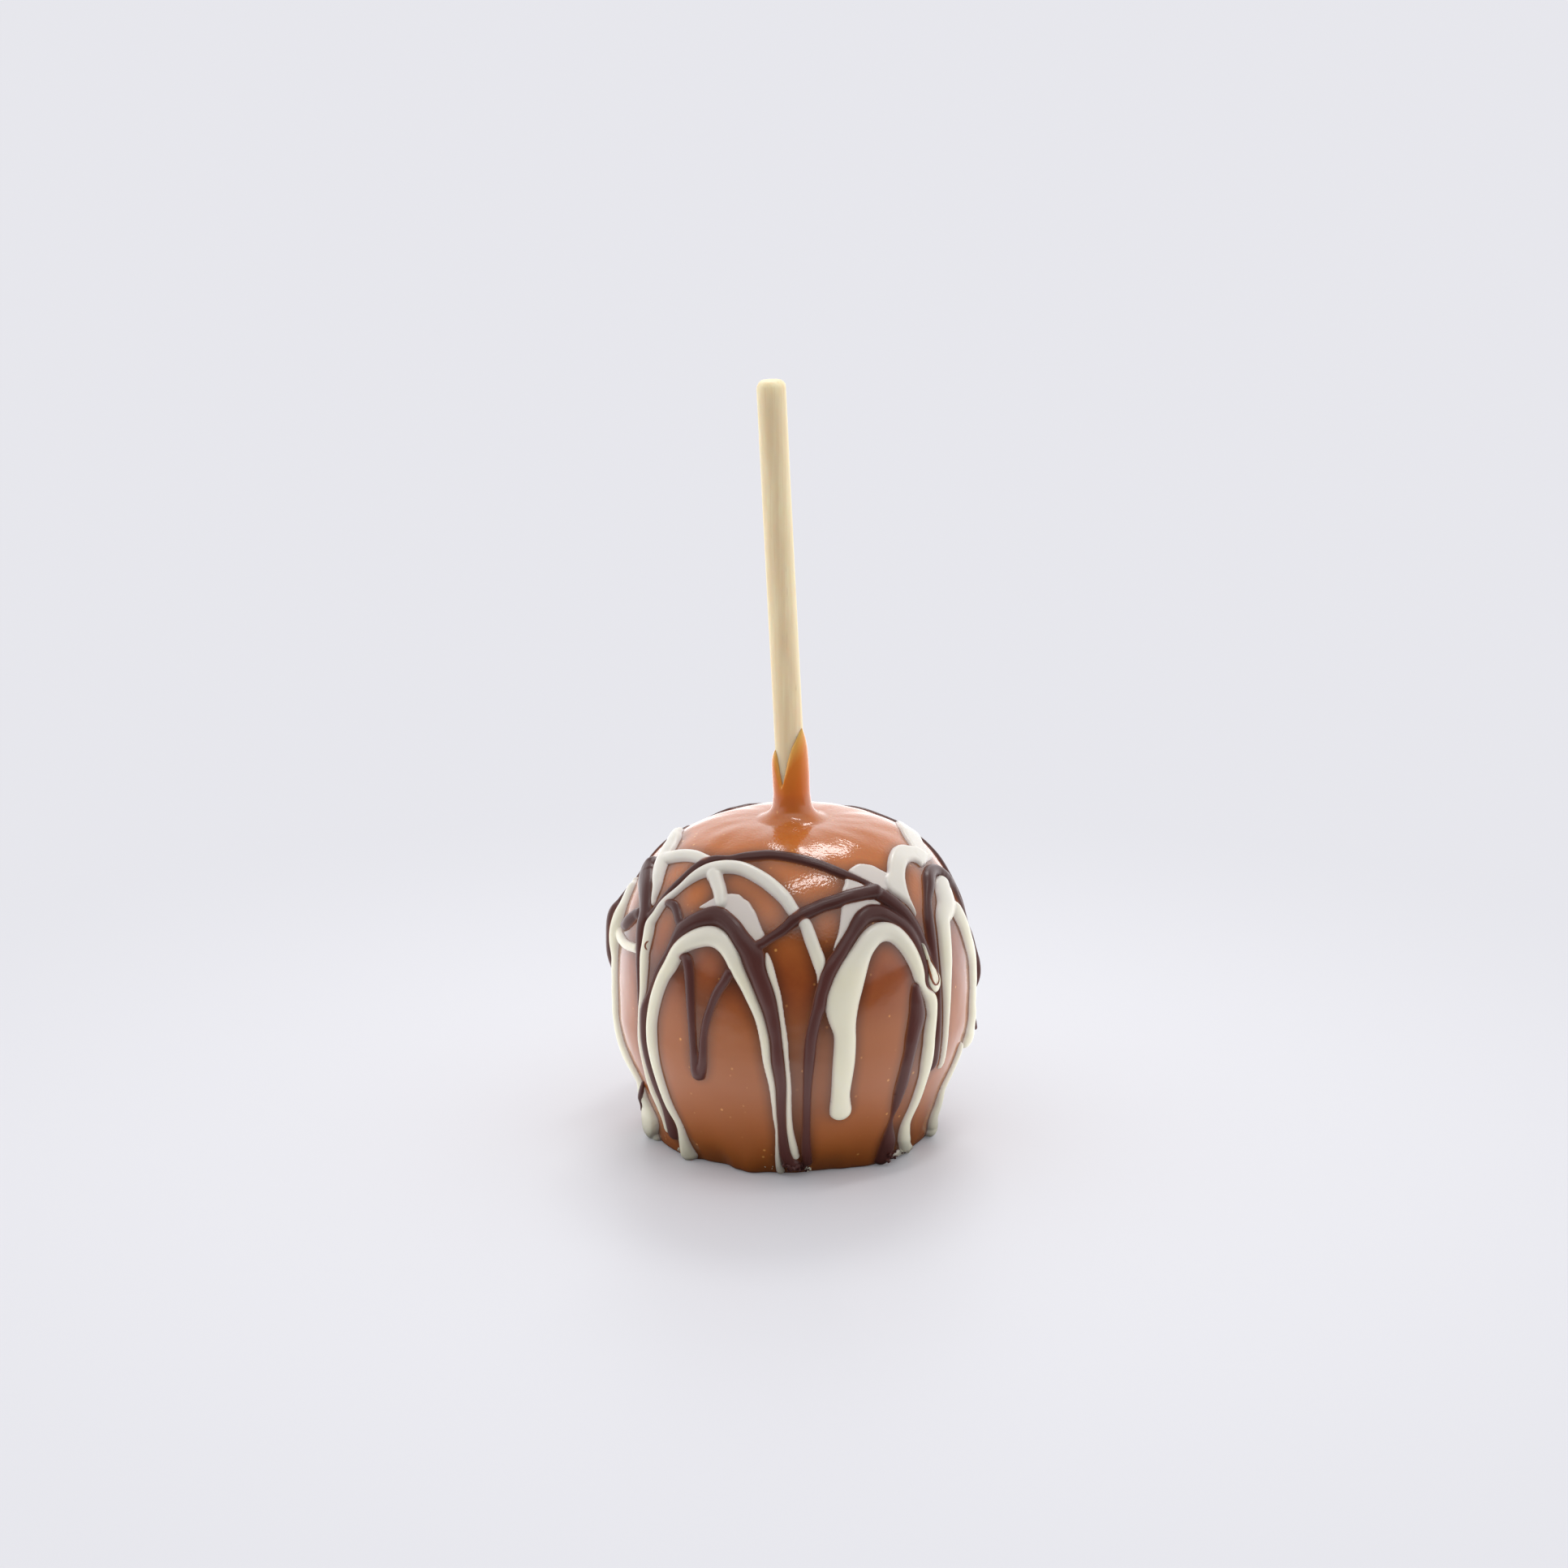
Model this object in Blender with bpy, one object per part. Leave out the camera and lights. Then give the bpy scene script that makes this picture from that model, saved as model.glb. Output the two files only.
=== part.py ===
import math
import random
import bmesh
import bpy
from mathutils import Vector
from mathutils.bvhtree import BVHTree
from mathutils.geometry import delaunay_2d_cdt

# a caramel apple on a wooden stick, with dark and white chocolate drizzled over it
# the foot rests on the floor at the origin, the photographed side faces -Y
for obj in list(bpy.data.objects):
    bpy.data.objects.remove(obj, do_unlink=True)

mm = 0.001

# caramel coat, mm
waistRadius = 39.5
waistHeight = 30.0
crownRadius = 8.0
crownHeight = 73.4
footRadius = 28.6
footFillet = 0.8
footCurve = 1.5
shoulderAcross = 2.15
shoulderUp = 3.0
shoulderTilt = 0.014
shoulderTiltFrom = 0.45
lobeDepth = 0.35
lobePhase = 0.6
footReach = [(-150, 0.6), (-120, 1.4), (-95, 1.9), (-74, 2.0), (-51, 1.1), (-44, -0.5), (-33, -1.4),
             (-25, 0.1), (-19, 0.8), (-10, -0.5), (0, -0.6), (10, -1.5), (17, -1.6), (25, -0.8), (37, 0.4),
             (43, 0.9), (58, 0.3), (65, 0.7), (81, 1.5), (105, 1.2), (130, -0.4), (155, -0.9), (180, 0.3)]
footReachHeight = 5.0

# stick, mm: a quarter inch dowel, five and a half inches long
stickRadius = 6.35 / 2
stickLength = 139.7
stickLean = math.radians(2.83)
stickAtCrown = -0.05
stickTop = 170.9
stickBevel = 1.2
stickClearance = 0.3

# caramel drawn up the stick: height of its edge around the stick, degrees from the front and mm
collarWall = 0.65
collarFlare = 1.15
collarStart = 4.6
collarTaper = 0.12
collarLip = 0.5
collarEdge = [(-180, 84.5), (-150, 85.5), (-120, 87.2), (-90, 88.9), (-72, 89.2), (-60, 88.4), (-53, 86.6),
              (-47, 84.6), (-40, 82.2), (-32, 80.9), (-26, 83.0), (-17, 85.3), (-6, 87.7), (7, 90.0),
              (26, 91.8), (45, 93.4), (65, 94.4), (85, 93.2), (105, 90.4), (130, 86.6), (155, 84.8),
              (180, 84.5)]

# where the routes below were traced from: a plane through the origin that faces the eye
eye = Vector((-2.03, -789.4, 297.7))
planePitch = math.radians(15.34)
planeUp = Vector((0, math.sin(planePitch), math.cos(planePitch)))
planeAcross = Vector((1, 0, 0))

# drizzle, mm
beadRise = 0.4
beadMost = 1.45
drizzleRoot = 0.8
edgeSink = 0.3
whiteStand = 0.35
darkStand = 0.75
hangFull = 0.4
pushBack = 0.075
overShare = 0.85
poolStep = 3.2
poolInset = 0.7
floorGap = 0.1
mergeGap = 0.05
turnStep = math.radians(17)
nearStep = 1.9
farStep = 6.0

# the loops behind, degrees from the front and mm
loopSeed = 23
loopCount = 9
loopFrom = 106
loopTo = 254
loopTops = (50, 64, 57, 67)

# two dark strands behind just show over the brow, one on each side of the stick: degrees, height, width
rimRoutes = {
    'leftRim': [(262.5, 54, .7), (260, 57.5, 1.1), (256, 61.5, 1.2), (252, 64.6, 1.3), (248, 66.5, 1.3),
                (244, 67.5, 1.3), (240, 67.6, 1.3), (236, 66, 1.3), (232, 62, 1.4), (229, 56.5, 1.5),
                (227, 50, 1.6), (226, 43, 1.9)],
    'backArch': [(236, 48, 1.9), (233, 55, 1.6), (229, 61.5, 1.7), (224, 66.5, 1.8), (218, 69.4, 1.9),
                 (212, 69.9, 1.9), (206, 70, 1.9), (200, 69.5, 1.9), (190, 69.2, 2), (178, 69.2, 2),
                 (166, 69.1, 2), (154, 69, 2), (146, 69.7, 2), (140, 69.6, 2), (134, 69.1, 1.9),
                 (128, 68.3, 1.9), (122, 67.1, 1.9), (116, 65.3, 1.9), (110, 63.3, 2.1), (104, 60, 2.5),
                 (98, 53, 2.4), (95, 46.5, 1.8), (93, 41, 1)],
}

# routes of the drizzle as seen from the eye: across, up, width
whiteRoutes = {
    'filmRoot': [(-17.8, 58.5, 3.4), (-17.7, 57.2, 3.4), (-17, 55.3, 3.1), (-16.5, 53.3, 3.1),
                 (-16.4, 51, 2.8)],
    'upperArch': [(5.8, 32.5, .3), (5.9, 35, .9), (6, 37.8, 2.9), (5.2, 40, 2.8), (4.1, 43, 2.9),
                  (2.6, 47, 2.7), (.3, 49.2, 2.8), (-.8, 51, 2.9), (-2.2, 52.9, 3.1), (-4, 54.6, 3.2),
                  (-6, 56.3, 3.2), (-8, 57.6, 3.2), (-10, 58.7, 3.2), (-12, 59.4, 3.1), (-15, 59.6, 3),
                  (-18, 59.2, 3.2), (-20.5, 58.3, 2.6), (-22.4, 57.2, 2.2), (-25, 55.2, 1.6),
                  (-26.6, 53.85, 1.6), (-28.45, 52.4, 1.7), (-29.9, 50.8, 1.8), (-31.3, 48.5, 1.8),
                  (-32.5, 46.8, 2.2), (-32.75, 45, 2.4), (-33.8, 40, 2), (-33.85, 37.8, 2),
                  (-34.1, 31.7, 1.5), (-34.6, 27.5, 1.2), (-34.8, 20, 1.2), (-33.7, 14.8, 1.2),
                  (-32.2, 9.7, 1.3), (-30.6, 6.2, 1.4), (-29.5, 4, 1.4), (-28.9, 1.1, 1.4),
                  (-28.3, -.5, 1.2)],
    'leftArch': [(-23.75, -6.1, 3.3), (-24.2, -5, 3), (-24.7, -3, 2.4), (-25.3, 0, 1.6), (-26.2, 2.1, 1.35),
                 (-27.9, 5, 1.6), (-29.9, 10, 1.75), (-31.4, 15, 2.1), (-32.1, 20, 2.4), (-32.1, 25, 2.45),
                 (-31.15, 30, 2.7), (-29.3, 35, 2.9), (-28.1, 36.8, 3.2), (-26, 40.8, 3.4),
                 (-24, 42.4, 3.8), (-22, 43.3, 4.3), (-19.3, 43.9, 4.6), (-17, 43.2, 4.4), (-15.3, 41.6, 4),
                 (-14, 39.4, 3.6), (-13.2, 37.2, 3.2), (-12.2, 35, 2.9), (-11, 32.7, 2.6), (-9.8, 30, 2.4),
                 (-7.7, 25, 2.1), (-6.5, 20, 2.1), (-5.9, 15, 1.8), (-4.8, 10, 1.5), (-4.3, 5, 1.1),
                 (-4.1, 2.1, .95), (-3.7, 0, .8), (-3.65, -3, .8), (-3.5, -7.1, 1.2), (-3.05, -9.1, 1.8),
                 (-2.8, -10.1, 2)],
    'middleLine': [(-6, 40.2, .3), (-5.6, 37.8, 1.6), (-4.9, 35, 1.75), (-4.2, 32.7, 1.5), (-3.4, 30, 1.4),
                   (-2.6, 25, 1.2), (-1.9, 20, 1.35), (-1.45, 15, 1.1), (-1, 10, 1.2), (-1, 5, 1.3),
                   (-.8, 0, 1.55), (-.25, -3, 1.7), (.2, -5, 2), (.65, -6.9, 1.6)],
    'rightArch': [(10.85, 3.4, 4.9), (10.85, 5, 4.7), (10.85, 7.2, 4.1), (11.15, 10, 4.3), (11.7, 15, 4.85),
                  (12, 20, 4.8), (11.8, 22.5, 5), (11.4, 25, 6.1), (11.2, 27.6, 7.1), (11.6, 30, 7.2),
                  (12.5, 32.7, 6.9), (13.3, 35, 6.5), (15.7, 40, 4.7), (17.3, 42.6, 4.6), (19, 44.3, 4.4),
                  (21, 45, 4.4), (23, 44.6, 4.2), (24.8, 43, 3.8), (26.4, 40.8, 3.5), (27.7, 38.2, 3.2),
                  (28.5, 36, 2.9), (28.9, 34, 2.6), (29.4, 32.7, 1.6), (30.2, 31, 2.2), (31.25, 30, 3),
                  (31.45, 28.6, 2.9), (31.7, 26.6, 2.35), (31.15, 22.5, 2.65), (31, 20, 2.55),
                  (30.75, 17.5, 2.7), (30.4, 15, 2.7), (29.9, 12.5, 2.2), (29.1, 10, 2), (28.1, 7.2, 1.9),
                  (27.2, 5, 1.75), (26.3, 3.1, 1.7), (25.4, 1.1, 2), (25.05, -1, 2.8), (25.2, -3.6, 2.9),
                  (25.6, -5, 2.4)],
    'leftShoulder': [(-26.4, 67.2, 2.4), (-27.2, 65, 2.9), (-28.6, 63, 3.2), (-29.6, 61, 3.4),
                     (-30.2, 59.2, 3.4), (-30.55, 57.2, 2.75), (-30.9, 55, 2), (-31.5, 53.1, 1.5),
                     (-32.1, 51, .8)],
    'leftShoulderArch': [(-29.3, 61.2, 2.8), (-27, 61.8, 2.8), (-25, 62.1, 2.8), (-23, 62.1, 2.8),
                         (-21, 61.6, 2.8), (-19.5, 60.9, 2.5)],
    'leftEdge': [(-35.9, 57, .5), (-36.3, 55.4, 1.4), (-37.1, 52.9, 2.9), (-38.4, 50, 2.9),
                 (-39.4, 48.2, 2.4), (-40.3, 46.3, 1.9), (-40.6, 44.6, 1.9), (-40.5, 43, 2.2),
                 (-40.2, 41, 2.2), (-39.9, 38, 2.4), (-40.1, 35, 2), (-40.4, 31.7, 1.9), (-40.2, 27.6, 1.9),
                 (-39.9, 25, 1.8), (-38.8, 20, 2), (-37.35, 16.4, 1.8), (-35.4, 12.4, 1.4),
                 (-34.3, 10, 1.4), (-33.3, 8.3, 1.8), (-32.95, 6.2, 2.5), (-33.2, 4.2, 3.4),
                 (-33, 2.1, 3.5), (-32, .1, 2.8), (-30.9, -1.5, 2)],
    'leftEdgeSpur': [(-39.3, 44.5, 1.6), (-38.8, 42.8, 2), (-37.8, 41.6, 2.1), (-36.6, 41.2, 2.2),
                     (-35.6, 41.3, 2.2)],
    'rightWide': [(34, 56.2, 2.2), (34.3, 54, 4.2), (34.9, 51.5, 5.2), (34, 48, 3.7), (34.2, 46.3, 3.4),
                  (34.7, 40, 2.8), (35, 35, 2.25), (35.1, 30, 1.75), (34.95, 25, 1.4), (34.6, 20, 1.25),
                  (34, 15, 1.05), (33.4, 13.8, .7)],
    'rightEdge': [(36.8, 50, 2.8), (37.5, 48.5, 2.6), (38.9, 45, 2.3), (39.8, 41.5, 2.4), (40.5, 38, 2.4),
                  (40.8, 34.5, 2.4), (40.5, 31, 2.1), (40.2, 28, 1.8), (40.1, 25, 2.2), (40, 22.5, 2.8),
                  (39.5, 20.5, 2.8)],
    'rightEdgeFoot': [(38.2, 19, 1.2), (37.2, 15.8, 1.3), (35.6, 12.3, 1.3), (34.1, 9.3, 1.3),
                      (32.7, 6.3, 1.5), (32.1, 4, 2.1), (32, 1.5, 2.3), (31.4, -.5, 2)],
}

# where the white lies in pools and thin films: their outlines, thickness and how far the edge rounds in
whitePools = {
    'shoulderStrand': {'rise': 0.8, 'edge': 1.1, 'outline': [
        (22.6, 70.6), (24.7, 67.4), (26.8, 64.3), (27.2, 62.5), (29.6, 60), (30.8, 61), (31.9, 61.8),
        (30.4, 63.4), (28.3, 66.8), (27.3, 68.4), (26.3, 70.2), (24.5, 71.2)]},
    'shoulderPool': {'rise': 0.9, 'edge': 1.3, 'outline': [
        (27.6, 64.2), (25.8, 64.45), (24.2, 64.6), (22.8, 64), (21.9, 62.4), (21.5, 60.6), (21.4, 58.4),
        (20.6, 56.6), (21.6, 54.2), (24, 52.4), (26.2, 50.6), (28, 48.2), (27.7, 49.7), (26.6, 52.3),
        (25.9, 54.6), (25.5, 57), (25.7, 59.2), (26.4, 60.5), (27.5, 60.8), (28.6, 60.3), (29.4, 59.6),
        (30.4, 60.6), (30.2, 62.4)]},
    'rightFilm': {'rise': 0.4, 'edge': 0.8, 'outline': [
        (21.4, 58.3), (19.8, 59.1), (18.2, 59.95), (16.6, 60.25), (15, 60.3), (13.7, 59.7), (12.6, 58.6),
        (14.4, 57.4), (17, 56), (19.4, 54.6), (22, 54.4), (23.6, 57)]},
    'leftFilm': {'rise': 0.36, 'edge': 0.8, 'outline': [
        (-17.4, 53.2), (-15.2, 53.5), (-13.6, 53.55), (-12.2, 53.3), (-11.2, 52.4), (-10.1, 51.7),
        (-9.2, 50.3), (-8.5, 49.2), (-8, 47.9), (-7.5, 46.6), (-7, 45.3), (-6.5, 43.9), (-8, 42),
        (-10.4, 42), (-12.4, 44.6), (-15, 47.6), (-17.4, 50)]},
    'leftWing': {'rise': 0.26, 'edge': 0.6, 'outline': [
        (-17.2, 53), (-18.3, 52.4), (-19.6, 51.6), (-21.4, 50.3), (-20.2, 50), (-18.6, 50), (-16.8, 50.4)]},
    'middleFilm': {'rise': 0.42, 'edge': 0.8, 'outline': [
        (11.7, 57.6), (13.4, 57), (16.4, 55.4), (17.6, 54), (17.4, 51.8), (16.2, 50.2), (14.6, 49),
        (13.4, 47.2), (12.4, 45.2), (11.2, 43.2), (10.2, 41.8), (9.2, 40.2), (9.5, 42), (10.2, 44),
        (10.6, 46), (10.85, 48.4), (11, 50.6), (11.1, 53), (11.3, 54.6), (11.8, 56)]},
    'footSmear': {'rise': 0.6, 'edge': 0.7, 'outline': [
        (22.4, -6.4), (23.4, -5.3), (24.6, -4.4), (26.4, -3.5), (27.7, -3.9), (27.3, -5), (25.8, -5.8),
        (24, -6.7)]},
    'rightDrop': {'rise': 1.5, 'edge': 0.7, 'outline': [
        (29.3, 42.2), (29.8, 40), (30.6, 37.6), (30.95, 35.7), (31, 33.7), (31.4, 32.1), (32.3, 31),
        (33.1, 31.4), (33.55, 32.5), (33.6, 33.7), (33.3, 35), (32.3, 36.7), (31.3, 38.6), (30.2, 40.6)]},
    'middleCrescent': {'rise': 0.4, 'edge': 0.6, 'outline': [
        (14, 51.3), (16, 52.4), (18.5, 52.4), (20.8, 51.2), (19, 50.8), (17, 50.6), (15, 49.4)]},
}

darkRoutes = {
    'innerLeftLeg': [(-25.6, 38.7, 1.2), (-24.4, 39.3, 2.6), (-23.9, 36.8, 2.35), (-23.7, 35, 2.35),
                     (-23.4, 30, 2.15), (-23.1, 25, 1.85), (-22.8, 20, 1.75), (-22.6, 17.5, 1.8),
                     (-22.3, 14, 2.2), (-21.5, 12, 3.2)],
    'innerRightLeg': [(-14.5, 35.8, 2.3), (-15.4, 33.7, 2.3), (-16.6, 32.1, 2.2), (-17.8, 30, 2.1),
                      (-18.6, 28, 1.9), (-19.6, 25, 1.95), (-20.1, 22.5, 1.75), (-20.4, 20, 1.85),
                      (-20.5, 17, 2), (-20.7, 14, 2.3), (-21.5, 12, 3.2)],
    'topArch': [(-33.5, 48.3, 1.6), (-31.7, 50.2, 1.2), (-30, 52.5, 1.2), (-27.6, 55.1, 1.3),
                (-25, 57.2, 1.7), (-21.5, 60, 1.8), (-17.6, 61.7, 1.6), (-15, 61.9, 1.2), (-12.5, 62, 1.9),
                (-10, 62.4, 2.15), (-5, 62.65, 2.15), (0, 61.9, 2.15), (5, 60.7, 2.3), (7.5, 59.9, 2.2),
                (10, 58.85, 2.2), (12.5, 57.8, 2), (15, 56.9, 1.6), (17.5, 55.6, 1.6), (19, 53.9, 3.3),
                (21, 52.7, 3.2), (23, 51.3, 3.1), (25, 49.6, 3), (26.8, 47.5, 2.8), (28.3, 45.2, 2.6),
                (29.6, 43, 1.9), (30.7, 41, 1.4), (31.6, 39.3, 1), (32.4, 37.8, .8), (33.1, 36.1, .7),
                (33.5, 34.6, .5)],
    'crossing': [(-8, 41.5, 2.4), (-5, 43.6, 2.1), (-2.8, 44.9, 2.4), (-.8, 46.6, 2.5), (1, 48.2, 2.9),
                 (2.5, 49, 3), (5.4, 50.4, 3), (7.5, 51.3, 3.1), (10, 51.9, 3.2), (12, 52.7, 3.1),
                 (15, 53.4, 3.2), (17, 53.8, 2.9), (18.8, 54, 3)],
    'leftArch': [(-27.2, -1.5, 2.7), (-27.6, 0, 2.5), (-28.2, 2.1, 2), (-29, 4.2, 1.45), (-29.9, 6.2, 1.3),
                 (-31.6, 10, 1.45), (-33.3, 15, 1.45), (-34.3, 20, 1.6), (-34.35, 25, 1.7),
                 (-34, 27.6, 1.9), (-33.4, 30, 1.1), (-32.2, 33.7, 1), (-30.8, 36.8, 1.3), (-28.8, 40, 1.5),
                 (-26.6, 43.8, 2.6), (-25, 45.7, 3.5), (-22.5, 47.2, 3.6), (-20, 48.2, 4),
                 (-17.6, 48.7, 4.6), (-15.5, 47.5, 4.2), (-13.5, 45.6, 4.2), (-12, 43.2, 4.4),
                 (-10.3, 41, 4.8), (-9.2, 39, 5.2), (-8.75, 36.8, 4.5), (-8.05, 35, 4.2), (-7.2, 32.7, 4.2),
                 (-6.25, 30, 4), (-5.5, 27.6, 3.6), (-4.9, 25, 3.2), (-4.4, 22.5, 3.1), (-3.95, 20, 2.6),
                 (-3.5, 15, 2.9), (-2.8, 10, 2.45), (-2.7, 5, 2.1), (-2.5, 0, 2), (-2.3, -3, 2.2),
                 (-2, -5, 2.5), (-1.2, -7.5, 3), (.2, -8.7, 3)],
    'rightArch': [(3.3, -8.5, 2.4), (3.05, -5, 2.35), (3.05, -3, 2.1), (3.1, 0, 1.85), (3.2, 5, 1.9),
                  (3.4, 10, 2.05), (3.75, 15, 2.6), (4.2, 20, 2.7), (5.3, 25, 2.7), (6.1, 27.6, 3),
                  (6.45, 30, 2.8), (7.3, 32.7, 2.9), (8, 35, 3.2), (8.9, 36.8, 3.3), (9.8, 38.2, 3.1),
                  (11, 40, 3), (12.75, 43, 2.9), (14, 45, 3), (15.2, 47.1, 3.6), (16.8, 48.8, 4),
                  (18.7, 49.3, 4), (20.5, 49.1, 3.6), (22.5, 48.2, 3.2), (24.5, 46.9, 3), (26.3, 45.2, 3),
                  (27.8, 42.9, 2.6), (29.25, 40, 2.2), (30.2, 37.8, 1.9), (30.6, 35.8, 1.6),
                  (30.55, 33.7, 1.2), (30.95, 31.7, 1.3), (32, 30.8, 1.1), (32.9, 31, .8)],
    'leftLine': [(-31, 61.6, .8), (-32.5, 61.1, 1.8), (-33.6, 59.8, 3), (-33.8, 57.2, 3.6),
                 (-33.9, 54.1, 3.3), (-33.9, 50, 2.8), (-34.5, 47.5, 2.6), (-35.2, 45, 1.9),
                 (-35.4, 41.5, 1.5), (-35.5, 38, 1.25), (-35.5, 36, 1.1), (-35.4, 31.7, .85),
                 (-35.4, 27.6, .5)],
    'rightLine': [(31.15, 12.65, .3), (32.1, 13.8, 1.3), (32.6, 15, 1.6), (33.1, 20, 1.7), (33.5, 25, 1.4),
                  (33.6, 30, 1.4), (33.9, 32.7, .8), (33.3, 35, .9), (32.7, 37.8, 1.55), (31.9, 43, 2.15),
                  (31.1, 48, 2.2), (30.85, 52, 1.85), (31.05, 55, 2.7), (31.1, 57.5, 3.2), (32, 59.2, 3.2),
                  (33.6, 59.2, 2.6), (35.2, 58, 2), (36.3, 56, 1.6), (37.2, 54, 1.2), (38.2, 51.5, 1),
                  (39.2, 49.2, 1), (39.9, 47, .9), (40.5, 45, .7), (41.5, 40, .9), (42.1, 37.8, 1),
                  (42.4, 35.6, 1), (42.1, 33.2, .9), (41.4, 31.2, .6), (40.9, 29.7, .5), (40.9, 27, .4),
                  (41.2, 24, .4), (41.4, 21.5, .4)],
    'rightDrip': [(28.2, 32.5, 1.5), (28.3, 30, 2.6), (28.6, 27.5, 3.4), (28.6, 25, 3.9), (28, 22.5, 3.3),
                  (27.4, 20, 3), (27, 17.5, 2.55), (26.4, 15, 2.6), (25.8, 12.4, 2.5), (25.15, 10, 2.5),
                  (24.3, 7.2, 2.1), (23.7, 5, 1.7), (23.05, 3.1, .9), (22.6, 1.5, .8), (22.2, -.5, 1.8),
                  (21.9, -3, 3.2), (21.3, -5.5, 3.4), (20.3, -7.5, 2.5)],
    'curl': [(-28.9, 51.2, 1.4), (-27.6, 51.4, 2.6), (-26.8, 50, 2.2), (-26.2, 48, 2.2), (-26, 46.5, 2)],
    'leftBlob': [(-35.2, 49.9, 1.8), (-36.8, 48.4, 2.2), (-38, 46.9, 2.3), (-38.7, 45.7, 1.4)],
    'leftEdge': [(-37.6, 54.2, .5), (-38.6, 52.4, .8), (-39.6, 51, .9), (-40.8, 49.1, 1), (-41.5, 47.4, .9),
                 (-41.9, 45.1, .7), (-41.7, 43.2, .5), (-41.2, 40.5, .4), (-41.6, 37.9, .7),
                 (-41.3, 36.6, .5)],
    'lowLeft': [(-34.2, 10.5, .7), (-34.3, 9, 1), (-34.5, 7.5, 1), (-34.6, 6, .7)],
}


def between(table, key):
    for (k0, v0), (k1, v1) in zip(table, table[1:]):
        if k0 <= key <= k1:
            t = (key - k0) / (k1 - k0)
            t = t * t * (3 - 2 * t)
            return v0 + (v1 - v0) * t
    return table[0][1] if key < table[0][0] else table[-1][1]


def wrapDegrees(a):
    return (a + 180) % 360 - 180


def makeProfile():
    rows = []
    for i in range(61):
        z = waistHeight * i / 60
        rows.append((waistRadius - (waistRadius - footRadius) * (1 - z / waistHeight) ** footCurve, z))
    for i in range(1, 121):
        a = math.pi / 2 * i / 120
        rows.append((crownRadius + (waistRadius - crownRadius) * math.cos(a) ** (2 / shoulderAcross),
                     waistHeight + (crownHeight - waistHeight) * math.sin(a) ** (2 / shoulderUp)))
    lengths = [0]
    for (r0, z0), (r1, z1) in zip(rows, rows[1:]):
        lengths.append(lengths[-1] + math.hypot(r1 - r0, z1 - z0))
    return rows, lengths


profileRows, profileLengths = makeProfile()
profileLength = profileLengths[-1]


def profileAt(s):
    s = min(max(s, 0), profileLength)
    lo, hi = 0, len(profileLengths) - 1
    while hi - lo > 1:
        mid = (lo + hi) // 2
        if profileLengths[mid] <= s:
            lo = mid
        else:
            hi = mid
    t = (s - profileLengths[lo]) / (profileLengths[hi] - profileLengths[lo])
    (r0, z0), (r1, z1) = profileRows[lo], profileRows[hi]
    return r0 + (r1 - r0) * t, z0 + (z1 - z0) * t


def profileFromHeight(z):
    z = min(max(z, 0), crownHeight)
    for i, ((r0, z0), (r1, z1)) in enumerate(zip(profileRows, profileRows[1:])):
        if z0 <= z <= z1 and z1 > z0:
            return profileLengths[i] + (profileLengths[i + 1] - profileLengths[i]) * (z - z0) / (z1 - z0)
    return profileLength


def shoulderRise(x, z):
    # the crown stands a little higher on one side
    return shoulderTilt * x * max(z / crownHeight - shoulderTiltFrom, 0) / (1 - shoulderTiltFrom)


def coatPoint(a, s, lift=0.0):
    # a is the angle from the front, s the length up the profile from the foot
    r, z = profileAt(s)
    low = max(s - 0.4, 0)
    r0, z0 = profileAt(low)
    r1, z1 = profileAt(low + 0.8)
    run = math.hypot(r1 - r0, z1 - z0)
    nr, nz = (z1 - z0) / run, (r0 - r1) / run
    r += between(footReach, wrapDegrees(math.degrees(a))) * math.exp(-(z / footReachHeight) ** 2)
    r += lobeDepth * math.sin(5 * a + lobePhase) * math.sin(math.pi * z / crownHeight) ** 2
    r += nr * lift
    x = r * math.sin(a)
    y = -r * math.cos(a)
    return Vector((x, y, z + nz * lift + shoulderRise(x, z)))


def coatNormal(a, s):
    d = 0.3
    sLow = min(max(s, d), profileLength - d)
    acrossWay = coatPoint(a + d / 30, sLow) - coatPoint(a - d / 30, sLow)
    upWay = coatPoint(a, sLow + d) - coatPoint(a, sLow - d)
    return acrossWay.cross(upWay).normalized()


def stickAxis(z):
    return Vector((stickAtCrown - (z - crownHeight) * math.tan(stickLean), 0, z))


def meshObject(name, verts, faces):
    mesh = bpy.data.meshes.new(name)
    mesh.from_pydata([v * mm for v in verts], [], faces)
    mesh.validate()
    obj = bpy.data.objects.new(name, mesh)
    bpy.context.scene.collection.objects.link(obj)
    return obj


def ringFaces(base, count, rings):
    return [(base + j * count + i, base + j * count + (i + 1) % count,
             base + (j + 1) * count + (i + 1) % count, base + (j + 1) * count + i)
            for j in range(rings - 1) for i in range(count)]


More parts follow.
